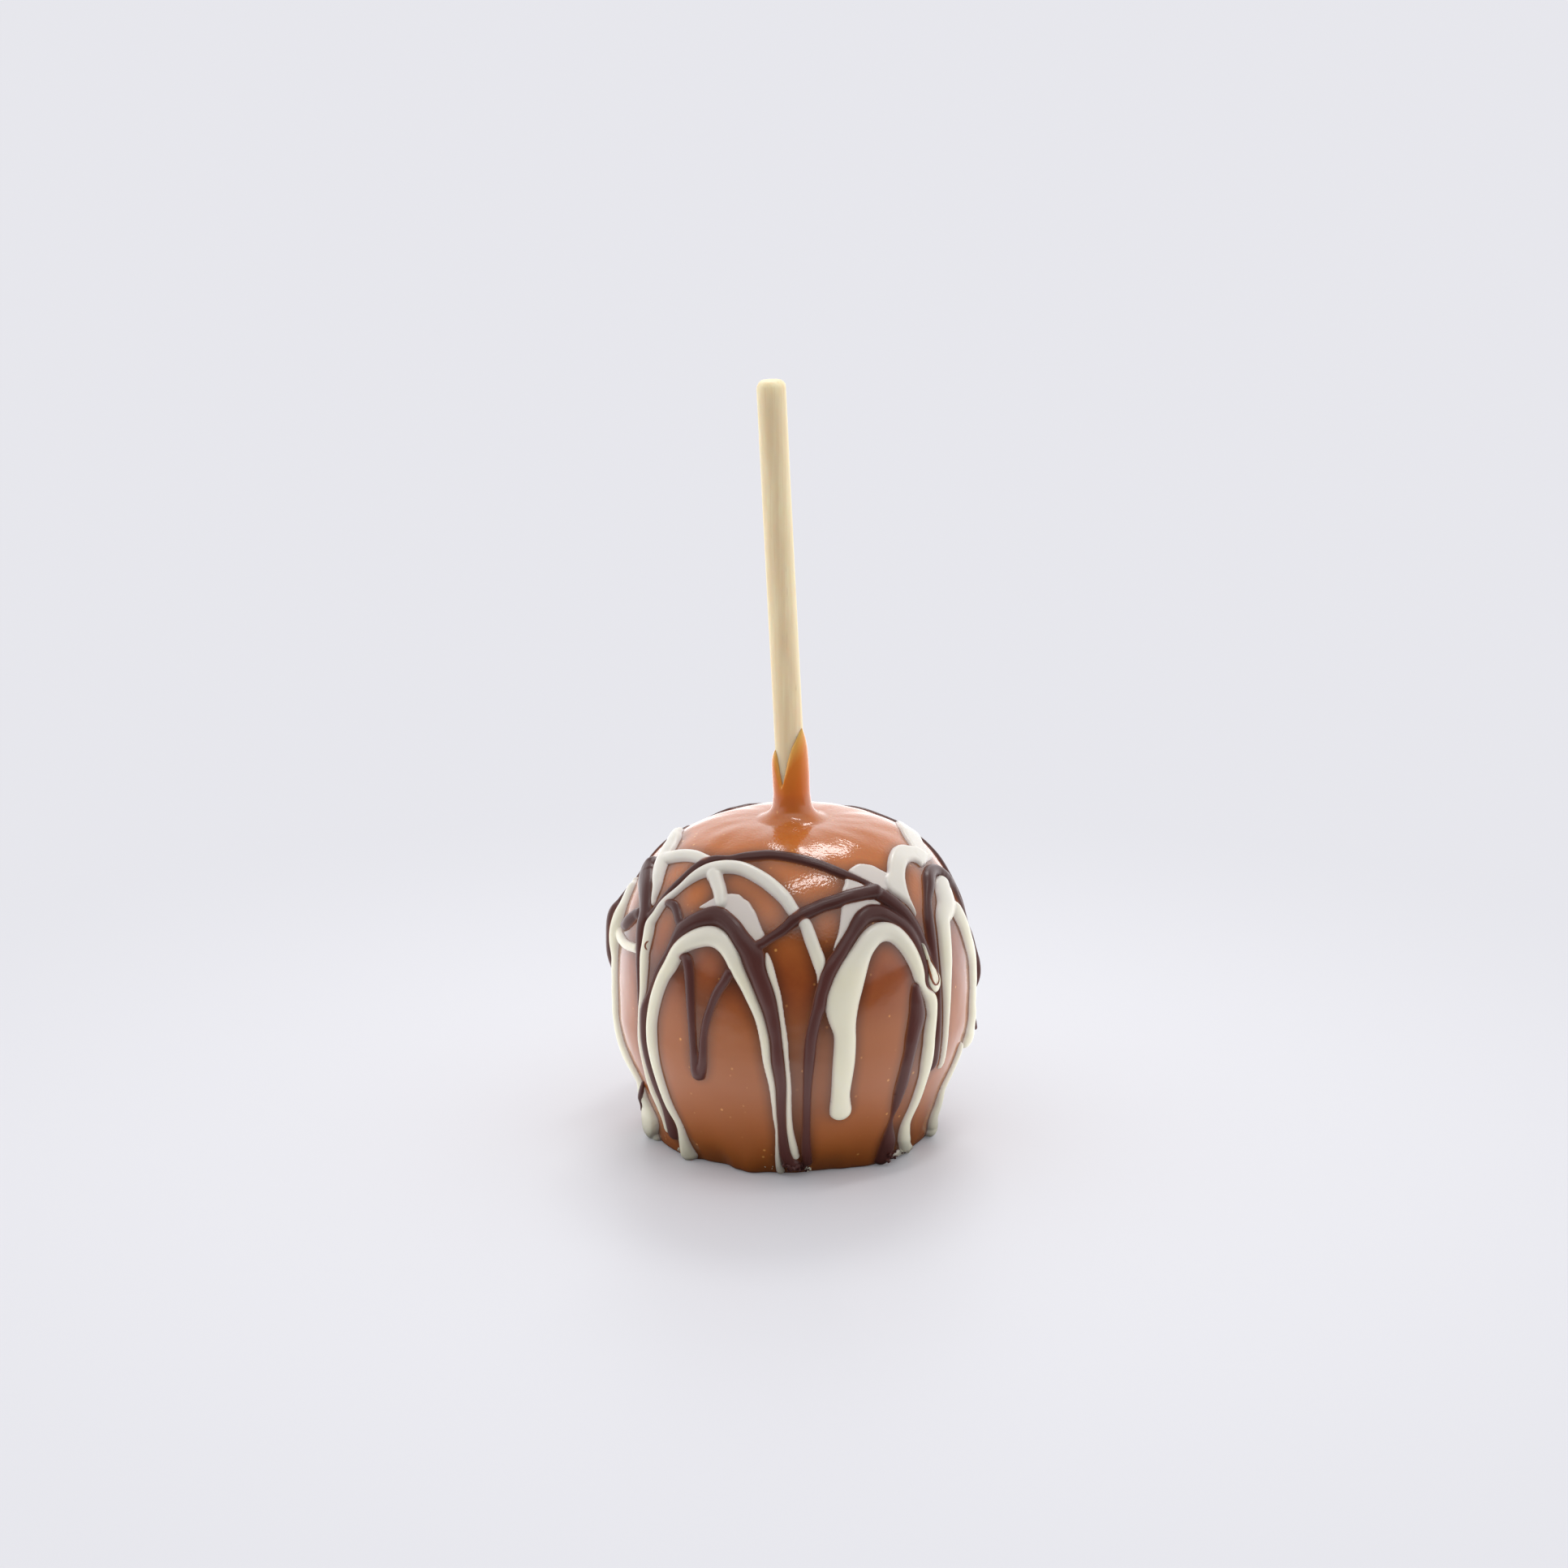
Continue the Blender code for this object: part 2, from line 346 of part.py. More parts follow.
def makeCoat(segments=52, bodyRings=20):
    verts = []
    angles = [2 * math.pi * i / segments for i in range(segments)]
    foot = [coatPoint(a, 0) for a in angles]
    verts += [Vector((p.x, p.y, 0)) * ((p.length - footFillet) / p.length) for p in foot]
    rings = 1
    for j in range(bodyRings + 1):
        s = footFillet + (profileLength - footFillet) * j / bodyRings
        verts += [coatPoint(a, s) for a in angles]
        rings += 1
    wall = stickRadius + stickClearance + collarWall
    for rise in (0.35, 0.85, 1.6, 2.8, collarStart):
        z = crownHeight + rise
        radius = wall + (crownRadius - wall) * math.exp(-rise / collarFlare)
        c = stickAxis(z)
        verts += [c + Vector((radius * math.sin(a), -radius * math.cos(a), 0)) for a in angles]
        rings += 1
    start = crownHeight + collarStart
    for share in (0.4, 0.8, 0.97):
        for a in angles:
            edge = between(collarEdge, wrapDegrees(math.degrees(a)))
            z = start + (edge - start) * share
            radius = wall - collarTaper * share
            verts.append(stickAxis(z) + Vector((radius * math.sin(a), -radius * math.cos(a), 0)))
        rings += 1
    bore = stickRadius + stickClearance
    for a in angles:
        edge = between(collarEdge, wrapDegrees(math.degrees(a)))
        inner = bore + collarTaper
        verts.append(stickAxis(edge) + Vector((inner * math.sin(a), -inner * math.cos(a), 0)))
    for a in angles:
        edge = between(collarEdge, wrapDegrees(math.degrees(a))) - collarLip
        verts.append(stickAxis(edge) + Vector((bore * math.sin(a), -bore * math.cos(a), 0)))
    stickEnd = stickTop - stickLength * math.cos(stickLean)
    for z in (crownHeight, stickEnd - stickClearance):
        c = stickAxis(z)
        verts += [c + Vector((bore * math.sin(a), -bore * math.cos(a), 0)) for a in angles]
    rings += 4
    faces = ringFaces(0, segments, rings)
    faces.append(tuple(reversed(range(segments))))
    last = (rings - 1) * segments
    faces.append(tuple(range(last, last + segments)))
    return meshObject('coated_apple', verts, faces)


def makeStick(segments=24):
    direction = (stickAxis(100) - stickAxis(0)).normalized()
    end = stickTop - stickLength * math.cos(stickLean)
    across = Vector((1, 0, 0))
    across = (across - direction * across.dot(direction)).normalized()
    depth = direction.cross(across)
    rings = [(stickAxis(end), stickRadius - 0.25, 0), (stickAxis(end) + direction * 0.25, stickRadius, 0),
             (stickAxis(stickTop) - direction * stickBevel, stickRadius, 0.35),
             (stickAxis(stickTop), stickRadius - 1.0, 0.1)]
    verts = []
    for c, radius, wobble in rings:
        for i in range(segments):
            a = 2 * math.pi * i / segments
            way = across * math.cos(a) + depth * math.sin(a)
            verts.append(c + way * radius + direction * wobble * math.sin(3 * a + 1.1) * 0.8)
    faces = ringFaces(0, segments, len(rings))
    faces.append(tuple(reversed(range(segments))))
    faces.append(tuple(range((len(rings) - 1) * segments, len(rings) * segments)))
    return meshObject('stick', verts, faces)


def surfaceTree(lift):
    count, rings = 120, 70
    verts = [coatPoint(2 * math.pi * i / count, profileLength * j / (rings - 1), lift)
             for j in range(rings) for i in range(count)]
    return BVHTree.FromPolygons(verts, ringFaces(0, count, rings))


def smoothRoute(points, step=0.5):
    # an even curve through the points
    out = []
    for i in range(len(points) - 1):
        p0 = points[max(i - 1, 0)]
        p1, p2 = points[i], points[i + 1]
        p3 = points[min(i + 2, len(points) - 1)]
        span = math.hypot(p2[0] - p1[0], p2[1] - p1[1])
        count = max(1, round(span / step))
        for k in range(count):
            t = k / count
            out.append(tuple(0.5 * (2 * b + (c - a) * t + (2 * a - 5 * b + 4 * c - d) * t * t
                                    + (3 * b - a - 3 * c + d) * t ** 3) for a, b, c, d in zip(p0, p1, p2, p3)))
    out.append(tuple(points[-1]))
    return out


surfaceTrees = {stand: surfaceTree(stand) for stand in (whiteStand, darkStand)}


def castOnCoat(u, v, stand):
    # the place on the coat behind a traced point, and how far past the coat's outline that point is
    tree = surfaceTrees[stand]
    aim = (planeAcross * u + planeUp * v - eye).normalized()
    hit = tree.ray_cast(eye, aim)[0]
    extra = 0.0
    if hit is None:
        near = min((tree.find_nearest(eye + aim * d)[::3] + (d,) for d in range(760, 860, 4)), key=lambda n: n[1])
        near = min((tree.find_nearest(eye + aim * (near[2] + k * 0.5))[::3] for k in range(-8, 9)),
                   key=lambda n: n[1])
        hit, extra = near[0], near[1]
    a = math.atan2(hit.x, -hit.y)
    z = hit.z - shoulderRise(hit.x, hit.z)
    n = coatNormal(a, profileFromHeight(z))
    return a, profileFromHeight(z - n.z * stand), extra


def pathPoints(path):
    return [coatPoint(p[0], p[1]) for p in path]


def realWidths(path):
    # the width seen from the eye, turned into the width across the bead
    points = pathPoints(path)
    out = []
    for i, p in enumerate(path):
        way = (points[min(i + 2, len(points) - 1)] - points[max(i - 2, 0)])
        n = coatNormal(p[0], p[1])
        side = way.cross(n).normalized()
        look = (points[i] - eye).normalized()
        flat = side - look * side.dot(look)
        wayFlat = way - look * way.dot(look)
        if wayFlat.length < 1e-6:
            wayFlat = flat.cross(look)
        wayFlat.normalize()
        seen = (flat - wayFlat * flat.dot(wayFlat)).length
        hidden = math.sqrt(max(1 - seen * seen, 0))
        factor = 2 / (seen + math.sqrt(seen * seen + 0.6 * hidden * hidden))
        out.append(p[2] * min(factor, 1.9))
    return out


def thinOut(path):
    # keep only the stations that the curve needs
    points = pathPoints(path)
    kept = [0]
    turned, gone = 0.0, 0.0
    for i in range(1, len(path) - 1):
        ahead, behind = points[i + 1] - points[i], points[i] - points[i - 1]
        gone += behind.length
        if ahead.length > 1e-6 and behind.length > 1e-6:
            turned += ahead.angle(behind)
        if gone >= farStep or (turned >= turnStep and gone >= nearStep):
            kept.append(i)
            turned, gone = 0.0, 0.0
    if len(kept) > 1 and gone < nearStep * 0.6:
        kept.pop()
    kept.append(len(path) - 1)
    return [path[i] for i in kept]


def evenOut(path):
    # near the outline the eye tells little about the angle, so there it is averaged further along
    points = pathPoints(path)
    out = []
    for i in range(len(path)):
        look = (points[i] - eye).normalized()
        facing = abs(look.dot(coatNormal(path[i][0], path[i][1])))
        reach = 3 + int(11 * max(0, 1 - facing / 0.5))
        reach = min(reach, max(i, 1), max(len(path) - 1 - i, 1))
        part = path[max(i - reach, 0):i + reach + 1]
        turn = path[i][0]
        near = path[max(i - 3, 0):i + 4]
        mean = [sum(p[k] for p in near) / len(near) for k in range(5)]
        mean[0] = turn + sum(p[0] - turn for p in part) / len(part)
        out.append(mean)
    return out


def layOnCoat(route, stand):
    # follow the traced route back from the eye on to the coat
    path = []
    for u, v, w in smoothRoute(route):
        a, s, extra = castOnCoat(u, v, stand)
        path.append([a, s, w, stand + extra + w / 2, min(extra / hangFull, 1)])
    for p, w in zip(path, realWidths(path)):
        p[2] = w
    path = evenOut(path)

    # a dark strand that stands out past the outline lies a little behind it
    if stand == darkStand:
        for p in path:
            p[0] += math.copysign(pushBack, p[0]) * p[4]
    return thinOut(path)


laid = []


def heightUnder(point, ownWidth):
    best = 0.0
    for p, w, top in laid:
        d = (p - point).length
        if d < w / 2 + ownWidth * 0.2:
            best = max(best, top * math.sqrt(max(1 - (d / (w / 2 + ownWidth * 0.2)) ** 2, 0)))
    return best


def makeBead(name, path, over=True):
    widths = [p[2] for p in path]
    rises = [min(beadRise * w, beadMost) for w in widths]
    points = pathPoints(path)
    normals = [coatNormal(p[0], p[1]) for p in path]
    lifts = []
    for i, (a, s, w, reach, hangs) in enumerate(path):
        under = heightUnder(points[i], w) * overShare if over else 0.0
        lifts.append(under * (1 - hangs) + max(reach - rises[i], 0) * hangs)
    stations = []
    for i, p in enumerate(points):
        way = (points[min(i + 1, len(points) - 1)] - points[max(i - 1, 0)]).normalized()
        stations.append((p, way, normals[i], widths[i], lifts[i]))
    first, final = stations[0], stations[-1]
    stations.insert(0, (first[0] - first[1] * first[3] * 0.3, first[1], first[2], first[3] * 0.5, first[4] * 0.5))
    stations.append((final[0] + final[1] * final[3] * 0.3, final[1], final[2], final[3] * 0.5, final[4] * 0.5))
    verts = []
    for k, (p, way, n, w, lift) in enumerate(stations):
        side = way.cross(n).normalized()
        half = w / 2 * 1.04
        top = lift + min(beadRise * w, beadMost)
        if k in (0, len(stations) - 1):
            top *= 0.7
        for x, h in ((-half, -edgeSink), (-half * 0.52, top * 0.95), (half * 0.52, top * 0.95), (half, -edgeSink),
                     (0, -drizzleRoot)):
            q = p + side * x + n * h
            q.z = max(q.z, floorGap)
            verts.append(q)
    count = len(stations)
    faces = ringFaces(0, 5, count)
    faces.append(tuple(reversed(range(5))))
    faces.append(tuple(range((count - 1) * 5, count * 5)))
    for i in range(len(points) - 1):
        steps = max(1, int((points[i + 1] - points[i]).length))
        for k in range(steps):
            t = k / steps
            top = (lifts[i] + rises[i]) * (1 - t) + (lifts[i + 1] + rises[i + 1]) * t
            laid.append((points[i].lerp(points[i + 1], t), widths[i] * (1 - t) + widths[i + 1] * t, top))
    return meshObject(name, verts, faces)


def edgeDistance(u, v, outline):
    # to the nearest side of the outline, negative outside it
    best, inside = 1e9, False
    for (u0, v0), (u1, v1) in zip(outline, outline[1:] + outline[:1]):
        du, dv = u1 - u0, v1 - v0
        t = min(max(((u - u0) * du + (v - v0) * dv) / (du * du + dv * dv), 0), 1)
        best = min(best, math.hypot(u - u0 - du * t, v - v0 - dv * t))
        if (v0 > v) != (v1 > v) and u < u0 + du * (v - v0) / dv:
            inside = not inside
    return best if inside else -best


def makePool(name, pool):
    # its outline lies on the coat, an inner ring and a few points between stand at its full thickness
    outline = pool['outline']
    turning = sum(u0 * v1 - u1 * v0 for (u0, v0), (u1, v1) in zip(outline, outline[1:] + outline[:1]))
    if turning < 0:
        outline = outline[::-1]
    spots = list(outline)
    inset = pool['edge'] * poolInset
    for (u0, v0), (u1, v1), (u2, v2) in zip(outline[-1:] + outline[:-1], outline, outline[1:] + outline[:1]):
        across, up = v0 - v2, u2 - u0
        run = math.hypot(across, up)
        u, v = u1 + across / run * inset, v1 + up / run * inset
        if edgeDistance(u, v, outline) > inset * 0.75 and min(math.dist((u, v), q) for q in spots) > inset * 0.6:
            spots.append((u, v))
    low = [min(p[k] for p in outline) for k in (0, 1)]
    high = [max(p[k] for p in outline) for k in (0, 1)]
    for i in range(int((high[0] - low[0]) / poolStep) + 1):
        for j in range(int((high[1] - low[1]) / poolStep) + 1):
            u, v = low[0] + (i + 0.5) * poolStep, low[1] + (j + 0.5) * poolStep
            if edgeDistance(u, v, outline) > 1.5 * pool['edge']:
                spots.append((u, v))
    flat, _, faces, _, _, _ = delaunay_2d_cdt([Vector(p) for p in spots], [], [list(range(len(outline)))], 1, 1e-5)
    faces = [tuple(f) for f in faces]
    top, bottom = [], []
    for u, v in flat:
        a, s, extra = castOnCoat(u, v, whiteStand)
        inner = edgeDistance(u, v, outline) > inset * 0.5
        top.append(coatPoint(a, s, pool['rise'] if inner else -edgeSink))
        bottom.append(coatPoint(a, s, -drizzleRoot))
        if inner:
            laid.append((top[-1], poolStep, pool['rise']))
    count = len(flat)
    sides = {(f[k], f[(k + 1) % 3]) for f in faces for k in range(3)}
    walls = [(i, i + count, j + count, j) for i, j in sides if (j, i) not in sides]
    under = [tuple(i + count for i in reversed(f)) for f in faces]
    return meshObject(name, top + bottom, faces + under + walls)


def backRoutes():
    # behind, where the photograph shows nothing, the drizzle goes on by rule:
    # loops of both colours that climb from the foot, turn over the shoulder and come down again
    rng = random.Random(loopSeed)
    loops = []
    for i in range(loopCount):
        mid = math.radians(loopFrom + (loopTo - loopFrom) * i / (loopCount - 1) + rng.uniform(-3, 3))
        half = math.radians(rng.uniform(9, 14))
        top = loopTops[i % len(loopTops)] + rng.uniform(-2, 2)
        lowA, lowB = rng.uniform(0.5, 4), rng.uniform(0.5, 14)
        lean = math.radians(rng.uniform(-7, 7))
        width = rng.uniform(2.4, 3.3)
        foot = profileFromHeight(lowA), profileFromHeight(lowB)
        height = profileFromHeight(top)
        path = []
        steps = 120
        for k in range(steps + 1):
            t = k / steps
            swing = -math.cos(math.pi * t)
            rise = math.sin(math.pi * t) ** 0.75
            start = foot[0] + (foot[1] - foot[0]) * t
            a = mid + half * (1 - 0.2 * rise) * math.copysign(abs(swing) ** 0.62, swing) + lean * rise
            a += 0.016 * math.sin(9 * t + i) * math.sin(math.pi * t)
            swell = 1 + 0.2 * math.sin(7 * t + 2 * i) + 0.25 * rise - 0.2
            path.append([a, start + (height - start) * rise, width * swell, 0.0, 0.0])
        loops.append(('white' if i % 2 else 'dark', path))
    return loops


def rimPath(route):
    return [[math.radians(angle), profileFromHeight(height), width, 0.0, 0.0]
            for angle, height, width in smoothRoute(route, 1.0)]


# the pendant of the left arch lies lowest, then the pools, the white and the dark
drizzle = bpy.data.collections.new('drizzle')
beads = []
pendant = ('innerLeftLeg', 'innerRightLeg')
for name in pendant:
    beads.append(makeBead(name, layOnCoat(darkRoutes[name], whiteStand), over=False))
for name, pool in whitePools.items():
    beads.append(makePool(name, pool))
for name, route in whiteRoutes.items():
    beads.append(makeBead(name + 'White', layOnCoat(route, whiteStand), over=False))
for name, route in darkRoutes.items():
    if name not in pendant:
        beads.append(makeBead(name, layOnCoat(route, darkStand)))
for colour, path in backRoutes():
    beads.append(makeBead(colour + 'Loop', thinOut(path)))
for name, route in rimRoutes.items():
    beads.append(makeBead(name, thinOut(rimPath(route))))

bpy.context.scene.collection.children.link(drizzle)
for bead in beads:
    bpy.context.scene.collection.objects.unlink(bead)
    drizzle.objects.link(bead)

coat = makeCoat()
join = coat.modifiers.new('drizzle', 'BOOLEAN')
join.operation = 'UNION'
join.operand_type = 'COLLECTION'
join.collection = drizzle
join.solver = 'MANIFOLD'
bpy.context.view_layer.objects.active = coat
coat.select_set(True)
bpy.ops.object.modifier_apply(modifier='drizzle')
for bead in beads:
    bpy.data.objects.remove(bead, do_unlink=True)
bpy.data.collections.remove(drizzle)

# slivers where beads meet are merged away
tidy = bmesh.new()
tidy.from_mesh(coat.data)
bmesh.ops.triangulate(tidy, faces=tidy.faces)
bmesh.ops.remove_doubles(tidy, verts=tidy.verts, dist=mergeGap * mm)
tidy.to_mesh(coat.data)
tidy.free()

makeStick()
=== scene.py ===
import math
import random

import bpy
import numpy as np
from mathutils import Euler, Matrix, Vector, noise
from mathutils.bvhtree import BVHTree


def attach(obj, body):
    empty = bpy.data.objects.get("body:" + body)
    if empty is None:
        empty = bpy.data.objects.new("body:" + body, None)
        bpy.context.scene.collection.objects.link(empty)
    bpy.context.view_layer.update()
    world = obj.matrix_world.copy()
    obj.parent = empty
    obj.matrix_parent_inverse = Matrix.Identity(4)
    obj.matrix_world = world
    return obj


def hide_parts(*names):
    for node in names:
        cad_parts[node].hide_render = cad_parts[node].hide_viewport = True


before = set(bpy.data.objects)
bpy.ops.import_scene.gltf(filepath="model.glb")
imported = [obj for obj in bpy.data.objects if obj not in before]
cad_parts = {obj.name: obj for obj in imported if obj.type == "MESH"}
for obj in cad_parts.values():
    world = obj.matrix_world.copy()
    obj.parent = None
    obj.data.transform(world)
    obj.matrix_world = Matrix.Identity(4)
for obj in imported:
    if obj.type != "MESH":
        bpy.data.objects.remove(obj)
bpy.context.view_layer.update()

# a caramel apple on a stick with dark and white chocolate drizzled over it
# lengths are in mm until a mesh is made, the apple stands at the origin and its front faces -Y
mm = 0.001

coatSizes = {
    'waistRadius': 39.5, 'waistHeight': 30.0, 'crownRadius': 8.0, 'crownHeight': 73.4, 'footRadius': 28.6,
    'footFillet': 0.8, 'footCurve': 1.5, 'shoulderAcross': 2.15, 'shoulderUp': 3.0,
    'shoulderTilt': 0.014, 'shoulderTiltFrom': 0.45, 'footReachHeight': 5.0, 'coverReach': 2.4,
    'lobes': 5, 'lobeDepth': 0.35, 'lobePhase': 0.6, 'columns': 420, 'rows': 184,
    'swellDepth': 0.064, 'relief': 0.02, 'reliefScale': 0.5, 'calmFoot': 6, 'calmCrown': 10,
    'swells': [(7, 0.09, 1, 1), (11, -0.14, 0, 0.8), (4, 0.23, 2, 1), (17, 0.31, 0, 0.6)],
    'underside': (0.3, 0.65, 0.85, 0.95, 1.0),
    'footReach': [(-150, 0.6), (-120, 1.4), (-95, 1.9), (-74, 2.0), (-51, 1.1), (-44, -0.5), (-33, -1.4),
                  (-25, 0.1), (-19, 0.8), (-10, -0.5), (0, -0.6), (10, -1.5), (17, -1.6), (25, -0.8),
                  (37, 0.4), (43, 0.9), (58, 0.3), (65, 0.7), (81, 1.5), (105, 1.2), (130, -0.4),
                  (155, -0.9), (180, 0.3)],
}

collarSizes = {
    'outerRadius': 4.125, 'flare': 1.15, 'tipThickness': 0.15, 'taper': 0.1,
    'thinFrom': 0.7, 'thinPower': 2.2, 'rises': (0.2, 0.5, 0.9, 1.4, 2.0, 2.8, 3.8, 4.9), 'rings': 20,
    'lump': 0.012, 'wobble': 0.05, 'edgeSoftness': 5,
    'lip': ((0.05, 0.02), (1.0, -0.05), (6.0, -0.05)), 'closedAt': 78.0, 'glowRise': 6, 'glowShare': 0.45,
    'edge': [(-180, 84.5), (-150, 85.5), (-120, 87.2), (-90, 88.9), (-72, 89.2), (-60, 88.4), (-53, 86.6),
             (-47, 84.6), (-40, 82.2), (-32, 80.9), (-26, 83.0), (-17, 85.3), (-6, 87.7), (7, 90.0),
             (26, 91.8), (45, 93.4), (65, 94.4), (85, 93.2), (105, 90.4), (130, 86.6), (155, 84.8),
             (180, 84.5)],
}

stickSizes = {
    'radius': 6.35 / 2, 'length': 139.7, 'lean': math.radians(2.83), 'atCrown': -0.05, 'top': 171.0,
    'bevel': 1.1, 'sides': 72, 'rings': 26, 'between': (8, 3), 'lowerBevel': 0.25, 'outOfRound': 0.012,
    'uneven': [(3, 0.4, 0.22), (5, 2, 0.16), (8, 0, 0.1)],
    # the sawn top from the shaft inwards: drop, drop in bevels, unevenness, inset and its unevenness
    'topRings': [(0.15, 1, 0.8, 0, 0), (0, 0.55, 0.4, 0.35, 0), (0.1, 0, 0, 0.85, 0.2),
                 (0, 0, 0, 1.05, 0.2)],
    'topMiddle': 1.0, 'topDish': 0.03,
}

drizzleSizes = {
    'beadRise': 0.4, 'beadMost': 1.5, 'beadPower': 0.62, 'beadStep': 0.16, 'unevenness': 0.03,
    'root': 0.55, 'cell': 0.25, 'blend': 0.3, 'blendFrom': -0.3, 'edgeSlope': 2.2, 'fallSlope': 1.2,
    'over': 0.85, 'overReach': 12, 'hangWidth': 0.55, 'poolReach': 1.5,
    'stand': {'white': 0.35, 'dark': 0.75}, 'pushBack': 0.075, 'pastFor': 0.4, 'evenOut': (3, 14, 0.5),
    'footSlope': 5, 'lowest': 0.06, 'sunk': 0.02, 'streaks': (0.25, 2.4), 'streakSeed': 7.3,
}

loopSizes = {
    'seed': 23, 'count': 9, 'from': 106, 'to': 254, 'jitter': 3, 'half': (9, 14), 'lean': 7,
    'tops': (50, 64, 57, 67), 'topJitter': 2, 'feet': ((0.5, 4), (0.5, 14)), 'width': (2.4, 3.3),
    'points': 520, 'round': 0.75, 'square': 0.62, 'narrow': 0.2, 'sway': 0.016,
}

cameraView = {
    'place': (-0.00203, -0.7894, 0.2977), 'pitch': 15.34, 'lens': 85.0, 'sensor': 36,
    'reaches': (760, 860, 4),
}

